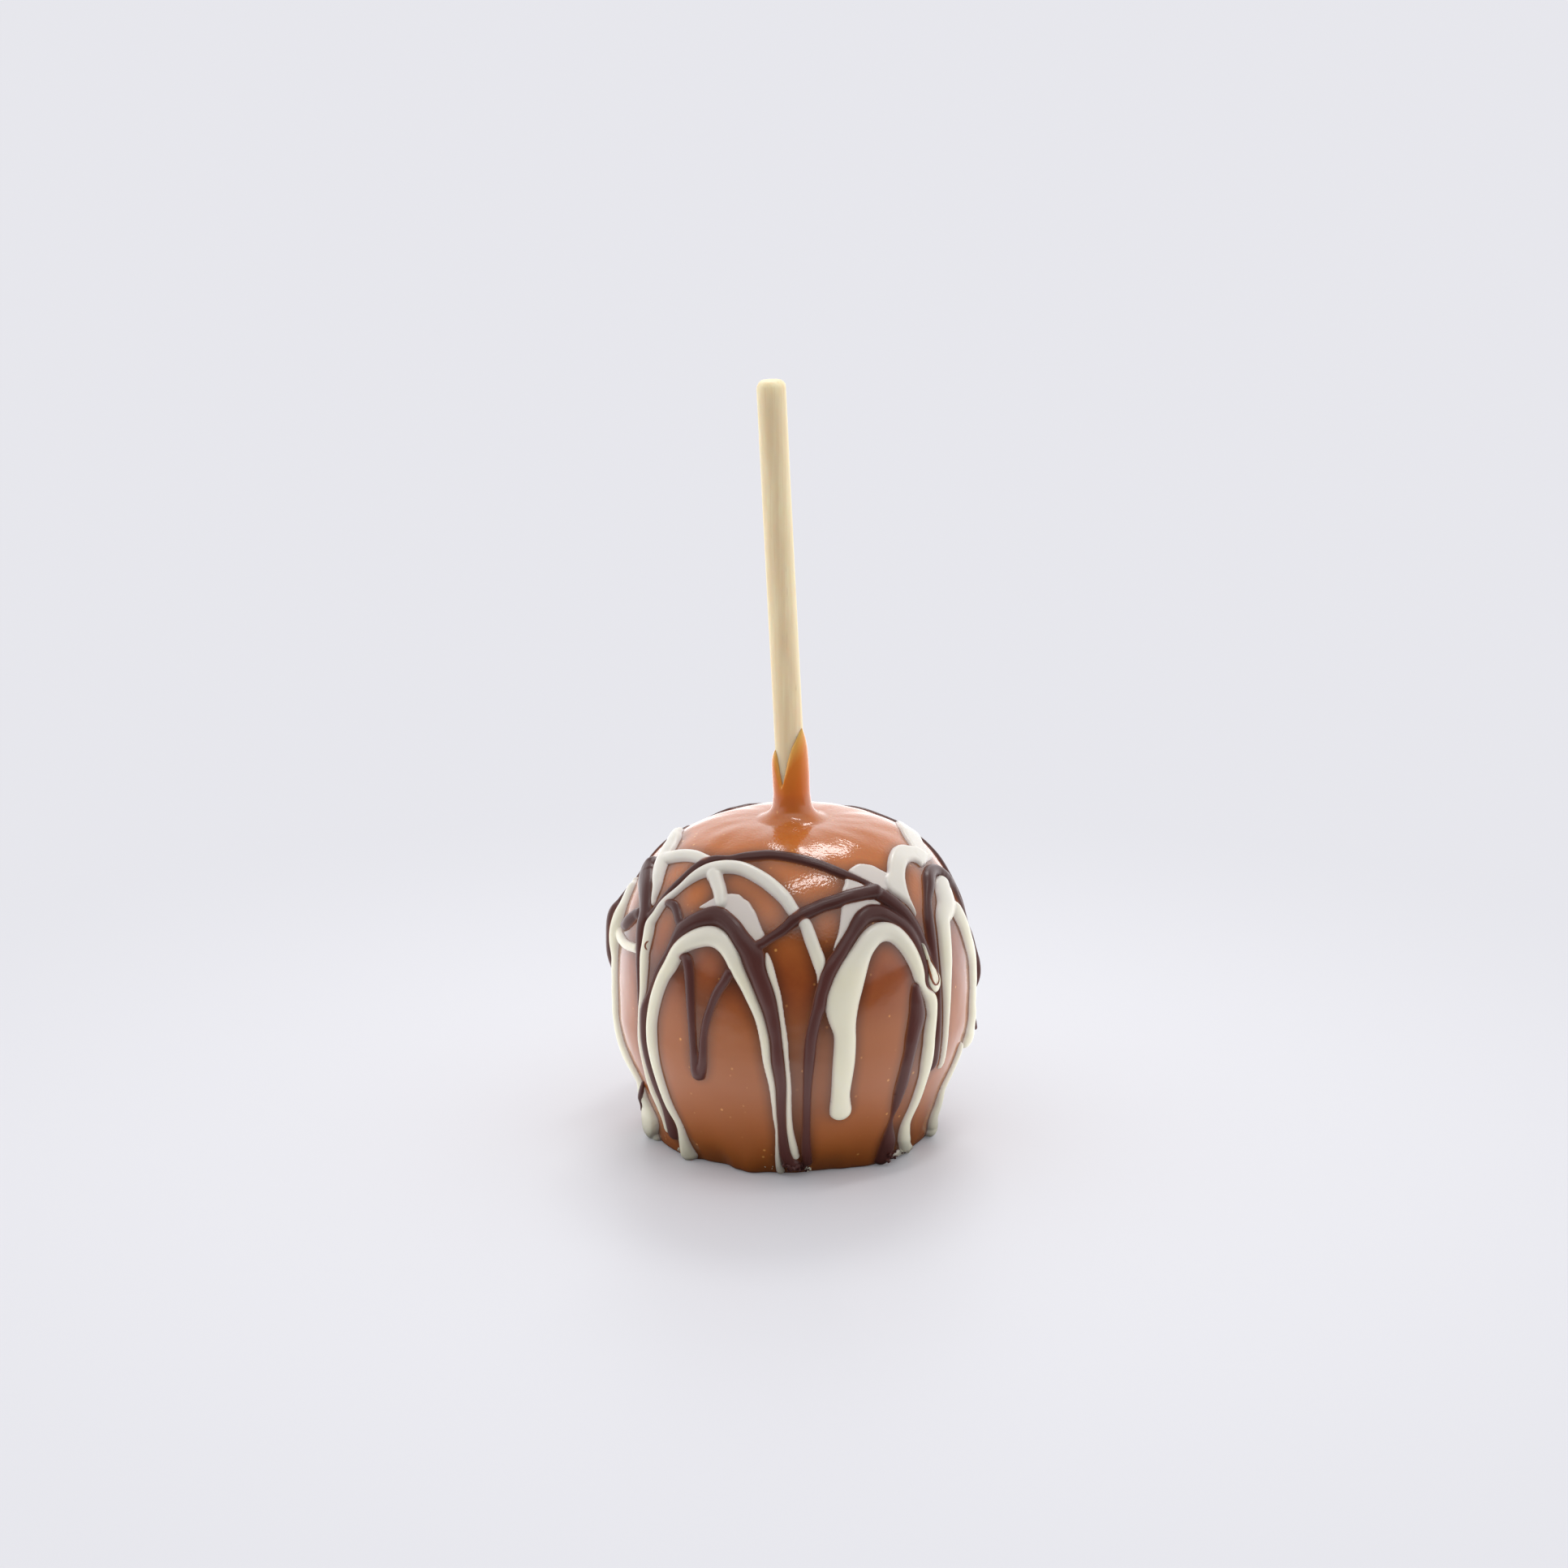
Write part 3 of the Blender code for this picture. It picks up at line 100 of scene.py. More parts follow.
# the drizzle as the camera sees it, on a plane through the origin that faces it: across, up and width
whiteRoutes = {
    'filmRoot': [(-17.8, 58.5, 3.4), (-17.7, 57.2, 3.4), (-17, 55.3, 3.1), (-16.5, 53.3, 3.1),
                 (-16.4, 51, 2.8)],
    'upperArch': [(5.8, 32.5, .3), (5.9, 35, .9), (6, 37.8, 2.9), (5.2, 40, 2.8), (4.1, 43, 2.9),
                  (2.6, 47, 2.7), (.3, 49.2, 2.8), (-.8, 51, 2.9), (-2.2, 52.9, 3.1), (-4, 54.6, 3.2),
                  (-6, 56.3, 3.2), (-8, 57.6, 3.2), (-10, 58.7, 3.2), (-12, 59.4, 3.1), (-15, 59.6, 3),
                  (-18, 59.2, 3.2), (-20.5, 58.3, 2.6), (-22.4, 57.2, 2.2), (-25, 55.2, 1.6),
                  (-26.6, 53.85, 1.6), (-28.45, 52.4, 1.7), (-29.9, 50.8, 1.8), (-31.3, 48.5, 1.8),
                  (-32.5, 46.8, 2.2), (-32.75, 45, 2.4), (-33.8, 40, 2), (-33.85, 37.8, 2),
                  (-34.1, 31.7, 1.5), (-34.6, 27.5, 1.2), (-34.8, 20, 1.2), (-33.7, 14.8, 1.2),
                  (-32.2, 9.7, 1.3), (-30.6, 6.2, 1.4), (-29.5, 4, 1.4), (-28.9, 1.1, 1.4),
                  (-28.3, -.5, 1.2)],
    'leftArch': [(-23.75, -6.1, 3.3), (-24.2, -5, 3), (-24.7, -3, 2.4), (-25.3, 0, 1.6), (-26.2, 2.1, 1.35),
                 (-27.9, 5, 1.6), (-29.9, 10, 1.75), (-31.4, 15, 2.1), (-32.1, 20, 2.4), (-32.1, 25, 2.45),
                 (-31.15, 30, 2.7), (-29.3, 35, 2.9), (-28.1, 36.8, 3.2), (-26, 40.8, 3.4),
                 (-24, 42.4, 3.8), (-22, 43.3, 4.3), (-19.3, 43.9, 4.6), (-17, 43.2, 4.4), (-15.3, 41.6, 4),
                 (-14, 39.4, 3.6), (-13.2, 37.2, 3.2), (-12.2, 35, 2.9), (-11, 32.7, 2.6), (-9.8, 30, 2.4),
                 (-7.7, 25, 2.1), (-6.5, 20, 2.1), (-5.9, 15, 1.8), (-4.8, 10, 1.5), (-4.3, 5, 1.1),
                 (-4.1, 2.1, .95), (-3.7, 0, .8), (-3.65, -3, .8), (-3.5, -7.1, 1.2), (-3.05, -9.1, 1.8),
                 (-2.8, -10.1, 2)],
    'middleLine': [(-6, 40.2, .3), (-5.6, 37.8, 1.6), (-4.9, 35, 1.75), (-4.2, 32.7, 1.5), (-3.4, 30, 1.4),
                   (-2.6, 25, 1.2), (-1.9, 20, 1.35), (-1.45, 15, 1.1), (-1, 10, 1.2), (-1, 5, 1.3),
                   (-.8, 0, 1.55), (-.25, -3, 1.7), (.2, -5, 2), (.65, -6.9, 1.6)],
    'rightArch': [(10.85, 3.4, 4.9), (10.85, 5, 4.7), (10.85, 7.2, 4.1), (11.15, 10, 4.3), (11.7, 15, 4.85),
                  (12, 20, 4.8), (11.8, 22.5, 5), (11.4, 25, 6.1), (11.2, 27.6, 7.1), (11.6, 30, 7.2),
                  (12.5, 32.7, 6.9), (13.3, 35, 6.5), (15.7, 40, 4.7), (17.3, 42.6, 4.6), (19, 44.3, 4.4),
                  (21, 45, 4.4), (23, 44.6, 4.2), (24.8, 43, 3.8), (26.4, 40.8, 3.5), (27.7, 38.2, 3.2),
                  (28.5, 36, 2.9), (28.9, 34, 2.6), (29.4, 32.7, 1.6), (30.2, 31, 2.2), (31.25, 30, 3),
                  (31.45, 28.6, 2.9), (31.7, 26.6, 2.35), (31.15, 22.5, 2.65), (31, 20, 2.55),
                  (30.75, 17.5, 2.7), (30.4, 15, 2.7), (29.9, 12.5, 2.2), (29.1, 10, 2), (28.1, 7.2, 1.9),
                  (27.2, 5, 1.75), (26.3, 3.1, 1.7), (25.4, 1.1, 2), (25.05, -1, 2.8), (25.2, -3.6, 2.9),
                  (25.6, -5, 2.4)],
    'leftShoulder': [(-26.4, 67.2, 2.4), (-27.2, 65, 2.9), (-28.6, 63, 3.2), (-29.6, 61, 3.4),
                     (-30.2, 59.2, 3.4), (-30.55, 57.2, 2.75), (-30.9, 55, 2), (-31.5, 53.1, 1.5),
                     (-32.1, 51, .8)],
    'leftShoulderArch': [(-29.3, 61.2, 2.8), (-27, 61.8, 2.8), (-25, 62.1, 2.8), (-23, 62.1, 2.8),
                         (-21, 61.6, 2.8), (-19.5, 60.9, 2.5)],
    'leftEdge': [(-35.9, 57, .5), (-36.3, 55.4, 1.4), (-37.1, 52.9, 2.9), (-38.4, 50, 2.9),
                 (-39.4, 48.2, 2.4), (-40.3, 46.3, 1.9), (-40.6, 44.6, 1.9), (-40.5, 43, 2.2),
                 (-40.2, 41, 2.2), (-39.9, 38, 2.4), (-40.1, 35, 2), (-40.4, 31.7, 1.9), (-40.2, 27.6, 1.9),
                 (-39.9, 25, 1.8), (-38.8, 20, 2), (-37.35, 16.4, 1.8), (-35.4, 12.4, 1.4),
                 (-34.3, 10, 1.4), (-33.3, 8.3, 1.8), (-32.95, 6.2, 2.5), (-33.2, 4.2, 3.4),
                 (-33, 2.1, 3.5), (-32, .1, 2.8), (-30.9, -1.5, 2)],
    'leftEdgeSpur': [(-39.3, 44.5, 1.6), (-38.8, 42.8, 2), (-37.8, 41.6, 2.1), (-36.6, 41.2, 2.2),
                     (-35.6, 41.3, 2.2)],
    'rightWide': [(34, 56.2, 2.2), (34.3, 54, 4.2), (34.9, 51.5, 5.2), (34, 48, 3.7), (34.2, 46.3, 3.4),
                  (34.7, 40, 2.8), (35, 35, 2.25), (35.1, 30, 1.75), (34.95, 25, 1.4), (34.6, 20, 1.25),
                  (34, 15, 1.05), (33.4, 13.8, .7)],
    'rightEdge': [(36.8, 50, 2.8), (37.5, 48.5, 2.6), (38.9, 45, 2.3), (39.8, 41.5, 2.4), (40.5, 38, 2.4),
                  (40.8, 34.5, 2.4), (40.5, 31, 2.1), (40.2, 28, 1.8), (40.1, 25, 2.2), (40, 22.5, 2.8),
                  (39.5, 20.5, 2.8)],
    'rightEdgeFoot': [(38.2, 19, 1.2), (37.2, 15.8, 1.3), (35.6, 12.3, 1.3), (34.1, 9.3, 1.3),
                      (32.7, 6.3, 1.5), (32.1, 4, 2.1), (32, 1.5, 2.3), (31.4, -.5, 2)],
}

# where the white lies in pools and thin films: their outlines, thickness and how far the edge rounds in
whitePools = {
    'shoulderStrand': {'rise': 0.8, 'edge': 1.1, 'outline': [
        (22.6, 70.6), (24.7, 67.4), (26.8, 64.3), (27.2, 62.5), (29.6, 60), (30.8, 61), (31.9, 61.8),
        (30.4, 63.4), (28.3, 66.8), (27.3, 68.4), (26.3, 70.2), (24.5, 71.2)]},
    'shoulderPool': {'rise': 0.9, 'edge': 1.3, 'outline': [
        (27.6, 64.2), (25.8, 64.45), (24.2, 64.6), (22.8, 64), (21.9, 62.4), (21.5, 60.6), (21.4, 58.4),
        (20.6, 56.6), (21.6, 54.2), (24, 52.4), (26.2, 50.6), (28, 48.2), (27.7, 49.7), (26.6, 52.3),
        (25.9, 54.6), (25.5, 57), (25.7, 59.2), (26.4, 60.5), (27.5, 60.8), (28.6, 60.3), (29.4, 59.6),
        (30.4, 60.6), (30.2, 62.4)]},
    'rightFilm': {'rise': 0.4, 'edge': 0.8, 'outline': [
        (21.4, 58.3), (19.8, 59.1), (18.2, 59.95), (16.6, 60.25), (15, 60.3), (13.7, 59.7), (12.6, 58.6),
        (14.4, 57.4), (17, 56), (19.4, 54.6), (22, 54.4), (23.6, 57)]},
    'leftFilm': {'rise': 0.36, 'edge': 0.8, 'outline': [
        (-17.4, 53.2), (-15.2, 53.5), (-13.6, 53.55), (-12.2, 53.3), (-11.2, 52.4), (-10.1, 51.7),
        (-9.2, 50.3), (-8.5, 49.2), (-8, 47.9), (-7.5, 46.6), (-7, 45.3), (-6.5, 43.9), (-8, 42),
        (-10.4, 42), (-12.4, 44.6), (-15, 47.6), (-17.4, 50)]},
    'leftWing': {'rise': 0.26, 'edge': 0.6, 'outline': [
        (-17.2, 53), (-18.3, 52.4), (-19.6, 51.6), (-21.4, 50.3), (-20.2, 50), (-18.6, 50), (-16.8, 50.4)]},
    'middleFilm': {'rise': 0.42, 'edge': 0.8, 'outline': [
        (11.7, 57.6), (13.4, 57), (16.4, 55.4), (17.6, 54), (17.4, 51.8), (16.2, 50.2), (14.6, 49),
        (13.4, 47.2), (12.4, 45.2), (11.2, 43.2), (10.2, 41.8), (9.2, 40.2), (9.5, 42), (10.2, 44),
        (10.6, 46), (10.85, 48.4), (11, 50.6), (11.1, 53), (11.3, 54.6), (11.8, 56)]},
    'footSmear': {'rise': 0.6, 'edge': 0.7, 'outline': [
        (22.4, -6.4), (23.4, -5.3), (24.6, -4.4), (26.4, -3.5), (27.7, -3.9), (27.3, -5), (25.8, -5.8),
        (24, -6.7)]},
    'middleCrescent': {'rise': 0.4, 'edge': 0.6, 'outline': [
        (14, 51.3), (16, 52.4), (18.5, 52.4), (20.8, 51.2), (19, 50.8), (17, 50.6), (15, 49.4)]},
}

darkRoutes = {
    'innerLeftLeg': [(-25.6, 38.7, 1.2), (-24.4, 39.3, 2.6), (-23.9, 36.8, 2.35), (-23.7, 35, 2.35),
                     (-23.4, 30, 2.15), (-23.1, 25, 1.85), (-22.8, 20, 1.75), (-22.6, 17.5, 1.8),
                     (-22.3, 14, 2.2), (-21.5, 12, 3.2)],
    'innerRightLeg': [(-14.5, 35.8, 2.3), (-15.4, 33.7, 2.3), (-16.6, 32.1, 2.2), (-17.8, 30, 2.1),
                      (-18.6, 28, 1.9), (-19.6, 25, 1.95), (-20.1, 22.5, 1.75), (-20.4, 20, 1.85),
                      (-20.5, 17, 2), (-20.7, 14, 2.3), (-21.5, 12, 3.2)],
    'topArch': [(-33.5, 48.3, 1.6), (-31.7, 50.2, 1.2), (-30, 52.5, 1.2), (-27.6, 55.1, 1.3),
                (-25, 57.2, 1.7), (-21.5, 60, 1.8), (-17.6, 61.7, 1.6), (-15, 61.9, 1.2), (-12.5, 62, 1.9),
                (-10, 62.4, 2.15), (-5, 62.65, 2.15), (0, 61.9, 2.15), (5, 60.7, 2.3), (7.5, 59.9, 2.2),
                (10, 58.85, 2.2), (12.5, 57.8, 2), (15, 56.9, 1.6), (17.5, 55.6, 1.6), (19, 53.9, 3.3),
                (21, 52.7, 3.2), (23, 51.3, 3.1), (25, 49.6, 3), (26.8, 47.5, 2.8), (28.3, 45.2, 2.6),
                (29.6, 43, 1.9), (30.7, 41, 1.4), (31.6, 39.3, 1), (32.4, 37.8, .8), (33.1, 36.1, .7),
                (33.5, 34.6, .5)],
    'crossing': [(-8, 41.5, 2.4), (-5, 43.6, 2.1), (-2.8, 44.9, 2.4), (-.8, 46.6, 2.5), (1, 48.2, 2.9),
                 (2.5, 49, 3), (5.4, 50.4, 3), (7.5, 51.3, 3.1), (10, 51.9, 3.2), (12, 52.7, 3.1),
                 (15, 53.4, 3.2), (17, 53.8, 2.9), (18.8, 54, 3)],
    'leftArch': [(-27.2, -1.5, 2.7), (-27.6, 0, 2.5), (-28.2, 2.1, 2), (-29, 4.2, 1.45), (-29.9, 6.2, 1.3),
                 (-31.6, 10, 1.45), (-33.3, 15, 1.45), (-34.3, 20, 1.6), (-34.35, 25, 1.7),
                 (-34, 27.6, 1.9), (-33.4, 30, 1.1), (-32.2, 33.7, 1), (-30.8, 36.8, 1.3), (-28.8, 40, 1.5),
                 (-26.6, 43.8, 2.6), (-25, 45.7, 3.5), (-22.5, 47.2, 3.6), (-20, 48.2, 4),
                 (-17.6, 48.7, 4.6), (-15.5, 47.5, 4.2), (-13.5, 45.6, 4.2), (-12, 43.2, 4.4),
                 (-10.3, 41, 4.8), (-9.2, 39, 5.2), (-8.75, 36.8, 4.5), (-8.05, 35, 4.2), (-7.2, 32.7, 4.2),
                 (-6.25, 30, 4), (-5.5, 27.6, 3.6), (-4.9, 25, 3.2), (-4.4, 22.5, 3.1), (-3.95, 20, 2.6),
                 (-3.5, 15, 2.9), (-2.8, 10, 2.45), (-2.7, 5, 2.1), (-2.5, 0, 2), (-2.3, -3, 2.2),
                 (-2, -5, 2.5), (-1.2, -7.5, 3), (.2, -8.7, 3)],
    'rightArch': [(3.3, -8.5, 2.4), (3.05, -5, 2.35), (3.05, -3, 2.1), (3.1, 0, 1.85), (3.2, 5, 1.9),
                  (3.4, 10, 2.05), (3.75, 15, 2.6), (4.2, 20, 2.7), (5.3, 25, 2.7), (6.1, 27.6, 3),
                  (6.45, 30, 2.8), (7.3, 32.7, 2.9), (8, 35, 3.2), (8.9, 36.8, 3.3), (9.8, 38.2, 3.1),
                  (11, 40, 3), (12.75, 43, 2.9), (14, 45, 3), (15.2, 47.1, 3.6), (16.8, 48.8, 4),
                  (18.7, 49.3, 4), (20.5, 49.1, 3.6), (22.5, 48.2, 3.2), (24.5, 46.9, 3), (26.3, 45.2, 3),
                  (27.8, 42.9, 2.6), (29.25, 40, 2.2), (30.2, 37.8, 1.9), (30.6, 35.8, 1.6),
                  (30.55, 33.7, 1.2), (30.95, 31.7, 1.3), (32, 30.8, 1.1), (32.9, 31, .8)],
    'leftLine': [(-31, 61.6, .8), (-32.5, 61.1, 1.8), (-33.6, 59.8, 3), (-33.8, 57.2, 3.6),
                 (-33.9, 54.1, 3.3), (-33.9, 50, 2.8), (-34.5, 47.5, 2.6), (-35.2, 45, 1.9),
                 (-35.4, 41.5, 1.5), (-35.5, 38, 1.25), (-35.5, 36, 1.1), (-35.4, 31.7, .85),
                 (-35.4, 27.6, .5)],
    'rightLine': [(31.15, 12.65, .3), (32.1, 13.8, 1.3), (32.6, 15, 1.6), (33.1, 20, 1.7), (33.5, 25, 1.4),
                  (33.6, 30, 1.4), (33.9, 32.7, .8), (33.3, 35, .9), (32.7, 37.8, 1.55), (31.9, 43, 2.15),
                  (31.1, 48, 2.2), (30.85, 52, 1.85), (31.05, 55, 2.7), (31.1, 57.5, 3.2), (32, 59.2, 3.2),
                  (33.6, 59.2, 2.6), (35.2, 58, 2), (36.3, 56, 1.6), (37.2, 54, 1.2), (38.2, 51.5, 1),
                  (39.2, 49.2, 1), (39.9, 47, .9), (40.5, 45, .7), (41.5, 40, .9), (42.1, 37.8, 1),
                  (42.4, 35.6, 1), (42.1, 33.2, .9), (41.4, 31.2, .6), (40.9, 29.7, .5), (40.9, 27, .4),
                  (41.2, 24, .4), (41.4, 21.5, .4)],
    'rightDrip': [(28.2, 32.5, 1.5), (28.3, 30, 2.6), (28.6, 27.5, 3.4), (28.6, 25, 3.9), (28, 22.5, 3.3),
                  (27.4, 20, 3), (27, 17.5, 2.55), (26.4, 15, 2.6), (25.8, 12.4, 2.5), (25.15, 10, 2.5),
                  (24.3, 7.2, 2.1), (23.7, 5, 1.7), (23.05, 3.1, .9), (22.6, 1.5, .8), (22.2, -.5, 1.8),
                  (21.9, -3, 3.2), (21.3, -5.5, 3.4), (20.3, -7.5, 2.5)],
    'curl': [(-28.9, 51.2, 1.4), (-27.6, 51.4, 2.6), (-26.8, 50, 2.2), (-26.2, 48, 2.2), (-26, 46.5, 2)],
    'leftBlob': [(-35.2, 49.9, 1.8), (-36.8, 48.4, 2.2), (-38, 46.9, 2.3), (-38.7, 45.7, 1.4)],
    'leftEdge': [(-37.6, 54.2, .5), (-38.6, 52.4, .8), (-39.6, 51, .9), (-40.8, 49.1, 1), (-41.5, 47.4, .9),
                 (-41.9, 45.1, .7), (-41.7, 43.2, .5), (-41.2, 40.5, .4), (-41.6, 37.9, .7),
                 (-41.3, 36.6, .5)],
}

# broken chocolate round the feet of some strands: middle, half size, how many, largest crumb
crumbPatches = {
    'dark': [((-1.4, -8.4), (1.2, .8), 12, 1.6), ((1, -8.9), (1.9, .9), 34, 1.9),
             ((3, -9.6), (.8, .4), 6, 1.2), ((22.4, -6), (1.7, .9), 22, 1.7), ((24.4, -5.2), (1, .4), 5, 1)],
    'white': [((3.2, -9.3), (.9, .5), 9, 1.3), ((.8, -9.3), (1.6, .5), 4, .8),
              ((25.2, -4.9), (1.8, .5), 9, 1.5), ((23.2, -6), (1, .5), 4, .8),
              ((-26.6, -4.8), (.9, .4), 6, .8), ((-5, -9), (3, .3), 4, .6)],
}
crumbShape = {
    'seed': 7, 'sizes': (0.4, 1), 'wide': (0.4, 0.7), 'thick': (0.2, 0.4), 'ragged': (0.8, 1.15),
    'profile': (0.55, 1, 0.95, 0.5), 'sides': 5, 'rests': 0.15, 'lowest': 0.1,
}

# a white drop held in a dark fold, with a thin dark ring in it
dropSizes = {
    'axis': ((29.6, 41.4), (32.35, 32.6)), 'stands': 0.05, 'rise': 0.7, 'skirt': 0.5, 'step': 0.25,
    'rings': (1.0, 0.94, 0.84, 0.7, 0.55, 0.4, 0.2),
    'outline': [(29.3, 42.2), (29.8, 40), (30.6, 37.6), (30.95, 35.7), (31, 33.7), (31.4, 32.1), (32.3, 31),
                (33.1, 31.4), (33.55, 32.5), (33.6, 33.7), (33.3, 35), (32.3, 36.7), (31.3, 38.6),
                (30.2, 40.6)],
}

# fine dark threads on whatever the camera sees there
threadShape = {
    'sides': 8, 'step': 0.12, 'flatness': 0.7, 'pointed': 5, 'softness': 3, 'reaches': (770, 850, 3),
}
threads = {
    'lowLeft': {'depth': 1.0, 'route': [
        (-33.9, 11, .5), (-34.2, 9.6, 1), (-34.5, 8, 1.3), (-34.75, 6.3, 1.1), (-34.95, 4.8, .7),
        (-35, 4, .4)]},
    'smallHook': {'depth': 0.03, 'route': [
        (-32.6, 42.7, .3), (-33.3, 42.3, .42), (-33.6, 41.6, .45), (-33.4, 40.9, .42), (-32.9, 40.5, .3)]},
    'dropRing': {'depth': 0.03, 'route': [
        (30.45, 38.6, .3), (30.85, 36.6, .45), (31.1, 35.4, .6), (31.45, 34.1, .5), (31.95, 33, .5),
        (32.5, 32.6, .45), (33, 33.15, .4), (33.1, 34.3, .38), (32.6, 35.8, .35), (31.8, 37.4, .32),
        (30.8, 39.6, .25)]},
}

# two dark strands behind just show over the brow, one on each side of the stick: degrees, height, width
rimRoutes = {
    'leftRim': [(262.5, 54, .7), (260, 57.5, 1.1), (256, 61.5, 1.2), (252, 64.6, 1.3), (248, 66.5, 1.3),
                (244, 67.5, 1.3), (240, 67.6, 1.3), (236, 66, 1.3), (232, 62, 1.4), (229, 56.5, 1.5),
                (227, 50, 1.6), (226, 43, 1.9)],
    'backArch': [(236, 48, 1.9), (233, 55, 1.6), (229, 61.5, 1.7), (224, 66.5, 1.8), (218, 69.4, 1.9),
                 (212, 69.9, 1.9), (206, 70, 1.9), (200, 69.5, 1.9), (190, 69.2, 2), (178, 69.2, 2),
                 (166, 69.1, 2), (154, 69, 2), (146, 69.7, 2), (140, 69.6, 2), (134, 69.1, 1.9),
                 (128, 68.3, 1.9), (122, 67.1, 1.9), (116, 65.3, 1.9), (110, 63.3, 2.1), (104, 60, 2.5),
                 (98, 53, 2.4), (95, 46.5, 1.8), (93, 41, 1)],
}


eye = Vector(cameraView['place']) / mm
planePitch = math.radians(cameraView['pitch'])
planeUp = Vector((0, math.sin(planePitch), math.cos(planePitch)))


def between(table, key):
    # smooth steps from one entry of the table to the next
    keys = np.array([k for k, v in table], float)
    values = np.array([v for k, v in table], float)
    key = np.clip(key, keys[0], keys[-1])
    i = np.clip(np.searchsorted(keys, key) - 1, 0, len(keys) - 2)
    t = (key - keys[i]) / (keys[i + 1] - keys[i])
    t = t * t * (3 - 2 * t)
    return values[i] + (values[i + 1] - values[i]) * t


def wrapDegrees(a):
    return (np.degrees(a) + 180) % 360 - 180


def makeProfile():
    c = coatSizes
    rows = []
    for i in range(61):
        z = c['waistHeight'] * i / 60
        rows.append((c['waistRadius'] - (c['waistRadius'] - c['footRadius'])
                     * (1 - z / c['waistHeight']) ** c['footCurve'], z))
    wide, tall = c['waistRadius'] - c['crownRadius'], c['crownHeight'] - c['waistHeight']
    for i in range(1, 121):
        a = math.pi / 2 * i / 120
        rows.append((c['crownRadius'] + wide * math.cos(a) ** (2 / c['shoulderAcross']),
                     c['waistHeight'] + tall * math.sin(a) ** (2 / c['shoulderUp'])))
    rows = np.array(rows)
    lengths = np.concatenate([[0], np.cumsum(np.hypot(*np.diff(rows, axis=0).T))])
    return rows[:, 0], rows[:, 1], lengths


profileRadii, profileHeights, profileLengths = makeProfile()
profileLength = float(profileLengths[-1])


def profileFromHeight(z):
    return np.interp(z, profileHeights, profileLengths)


def shoulderRise(x, z):
    # the crown stands a little higher on one side
    c = coatSizes
    top = np.maximum(z / c['crownHeight'] - c['shoulderTiltFrom'], 0) / (1 - c['shoulderTiltFrom'])
    return c['shoulderTilt'] * x * top


def coatPoints(a, s, lift=0.0):
    # a is the angle from the front, s the length up the profile from the foot
    c = coatSizes
    a, s = np.asarray(a, float), np.asarray(s, float)
    r = np.interp(s, profileLengths, profileRadii)
    z = np.interp(s, profileLengths, profileHeights)
    low = np.clip(s - 0.4, 0, profileLength - 0.8)
    dr = np.interp(low + 0.8, profileLengths, profileRadii) - np.interp(low, profileLengths, profileRadii)
    dz = np.interp(low + 0.8, profileLengths, profileHeights) - np.interp(low, profileLengths, profileHeights)
    run = np.hypot(dr, dz)
    r = r + between(c['footReach'], wrapDegrees(a)) * np.exp(-(z / c['footReachHeight']) ** 2)
    lobes = np.sin(c['lobes'] * a + c['lobePhase']) * np.sin(math.pi * z / c['crownHeight']) ** 2
    r = r + c['lobeDepth'] * lobes + dz / run * lift
    x, y = r * np.sin(a), -r * np.cos(a)
    return np.stack(np.broadcast_arrays(x, y, z - dr / run * lift + shoulderRise(x, z)), axis=-1)


def coatSwells(a, s):
    # low swells that the dipped caramel keeps, calm at the foot and at the crown
    c = coatSizes
    z = np.interp(s, profileLengths, profileHeights)
    quiet = np.minimum(z / c['calmFoot'], 1) * np.clip((profileLength - s) / c['calmCrown'], 0, 1)
    swell = sum(share * np.sin(turns * a + climb * s + phase) for turns, climb, phase, share in c['swells'])
    return swell * c['swellDepth'] * quiet


def coatNormals(a, s):
    a, s = np.asarray(a, float), np.clip(np.asarray(s, float), 0.3, profileLength - 0.3)
    around = coatPoints(a + 0.01, s) - coatPoints(a - 0.01, s)
    n = np.cross(around, coatPoints(a, s + 0.3) - coatPoints(a, s - 0.3))
    return n / np.linalg.norm(n, axis=-1, keepdims=True)


def stickAxis(z):
    z = np.asarray(z, float)
    lean = (z - coatSizes['crownHeight']) * math.tan(stickSizes['lean'])
    return np.stack([stickSizes['atCrown'] - lean, np.zeros_like(z), z], axis=-1)


def ringFaces(columns, rings):
    i, j = np.meshgrid(np.arange(columns), np.arange(rings - 1))
    k = (i + 1) % columns
    return np.stack([j * columns + i, j * columns + k, (j + 1) * columns + k, (j + 1) * columns + i],
                    axis=-1).reshape(-1, 4)


def addPiece(name, points, faces, material, node):
    mesh = bpy.data.meshes.new(name)
    mesh.from_pydata((np.asarray(points) * mm).tolist(), [], [tuple(f) for f in faces])
    mesh.update()
    mesh.shade_smooth()
    mesh.materials.append(material)
    piece = bpy.data.objects.new(name, mesh)
    bpy.context.scene.collection.objects.link(piece)
    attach(piece, 'root')
    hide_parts(node)
    print(name, len(mesh.polygons), 'faces')
    return piece


def setValues(piece, name, values):
    # a value at each point, for the material
    attribute = piece.data.attributes.new(name, 'FLOAT', 'POINT')
    attribute.data.foreach_set('value', np.asarray(values, np.float32))


def smoothRoute(points, step=0.4):
    # an even curve through the points
    out = []
    for i in range(len(points) - 1):
        p = [np.array(points[min(max(k, 0), len(points) - 1)], float) for k in (i - 1, i, i + 1, i + 2)]
        count = max(1, round(math.hypot(*(p[2] - p[1])[:2]) / step))
        for k in range(count):
            t = k / count
            out.append(0.5 * (2 * p[1] + (p[2] - p[0]) * t + (2 * p[0] - 5 * p[1] + 4 * p[2] - p[3]) * t * t
                              + (3 * p[1] - p[0] - 3 * p[2] + p[3]) * t ** 3))
    out.append(np.array(points[-1], float))
    return np.array(out)


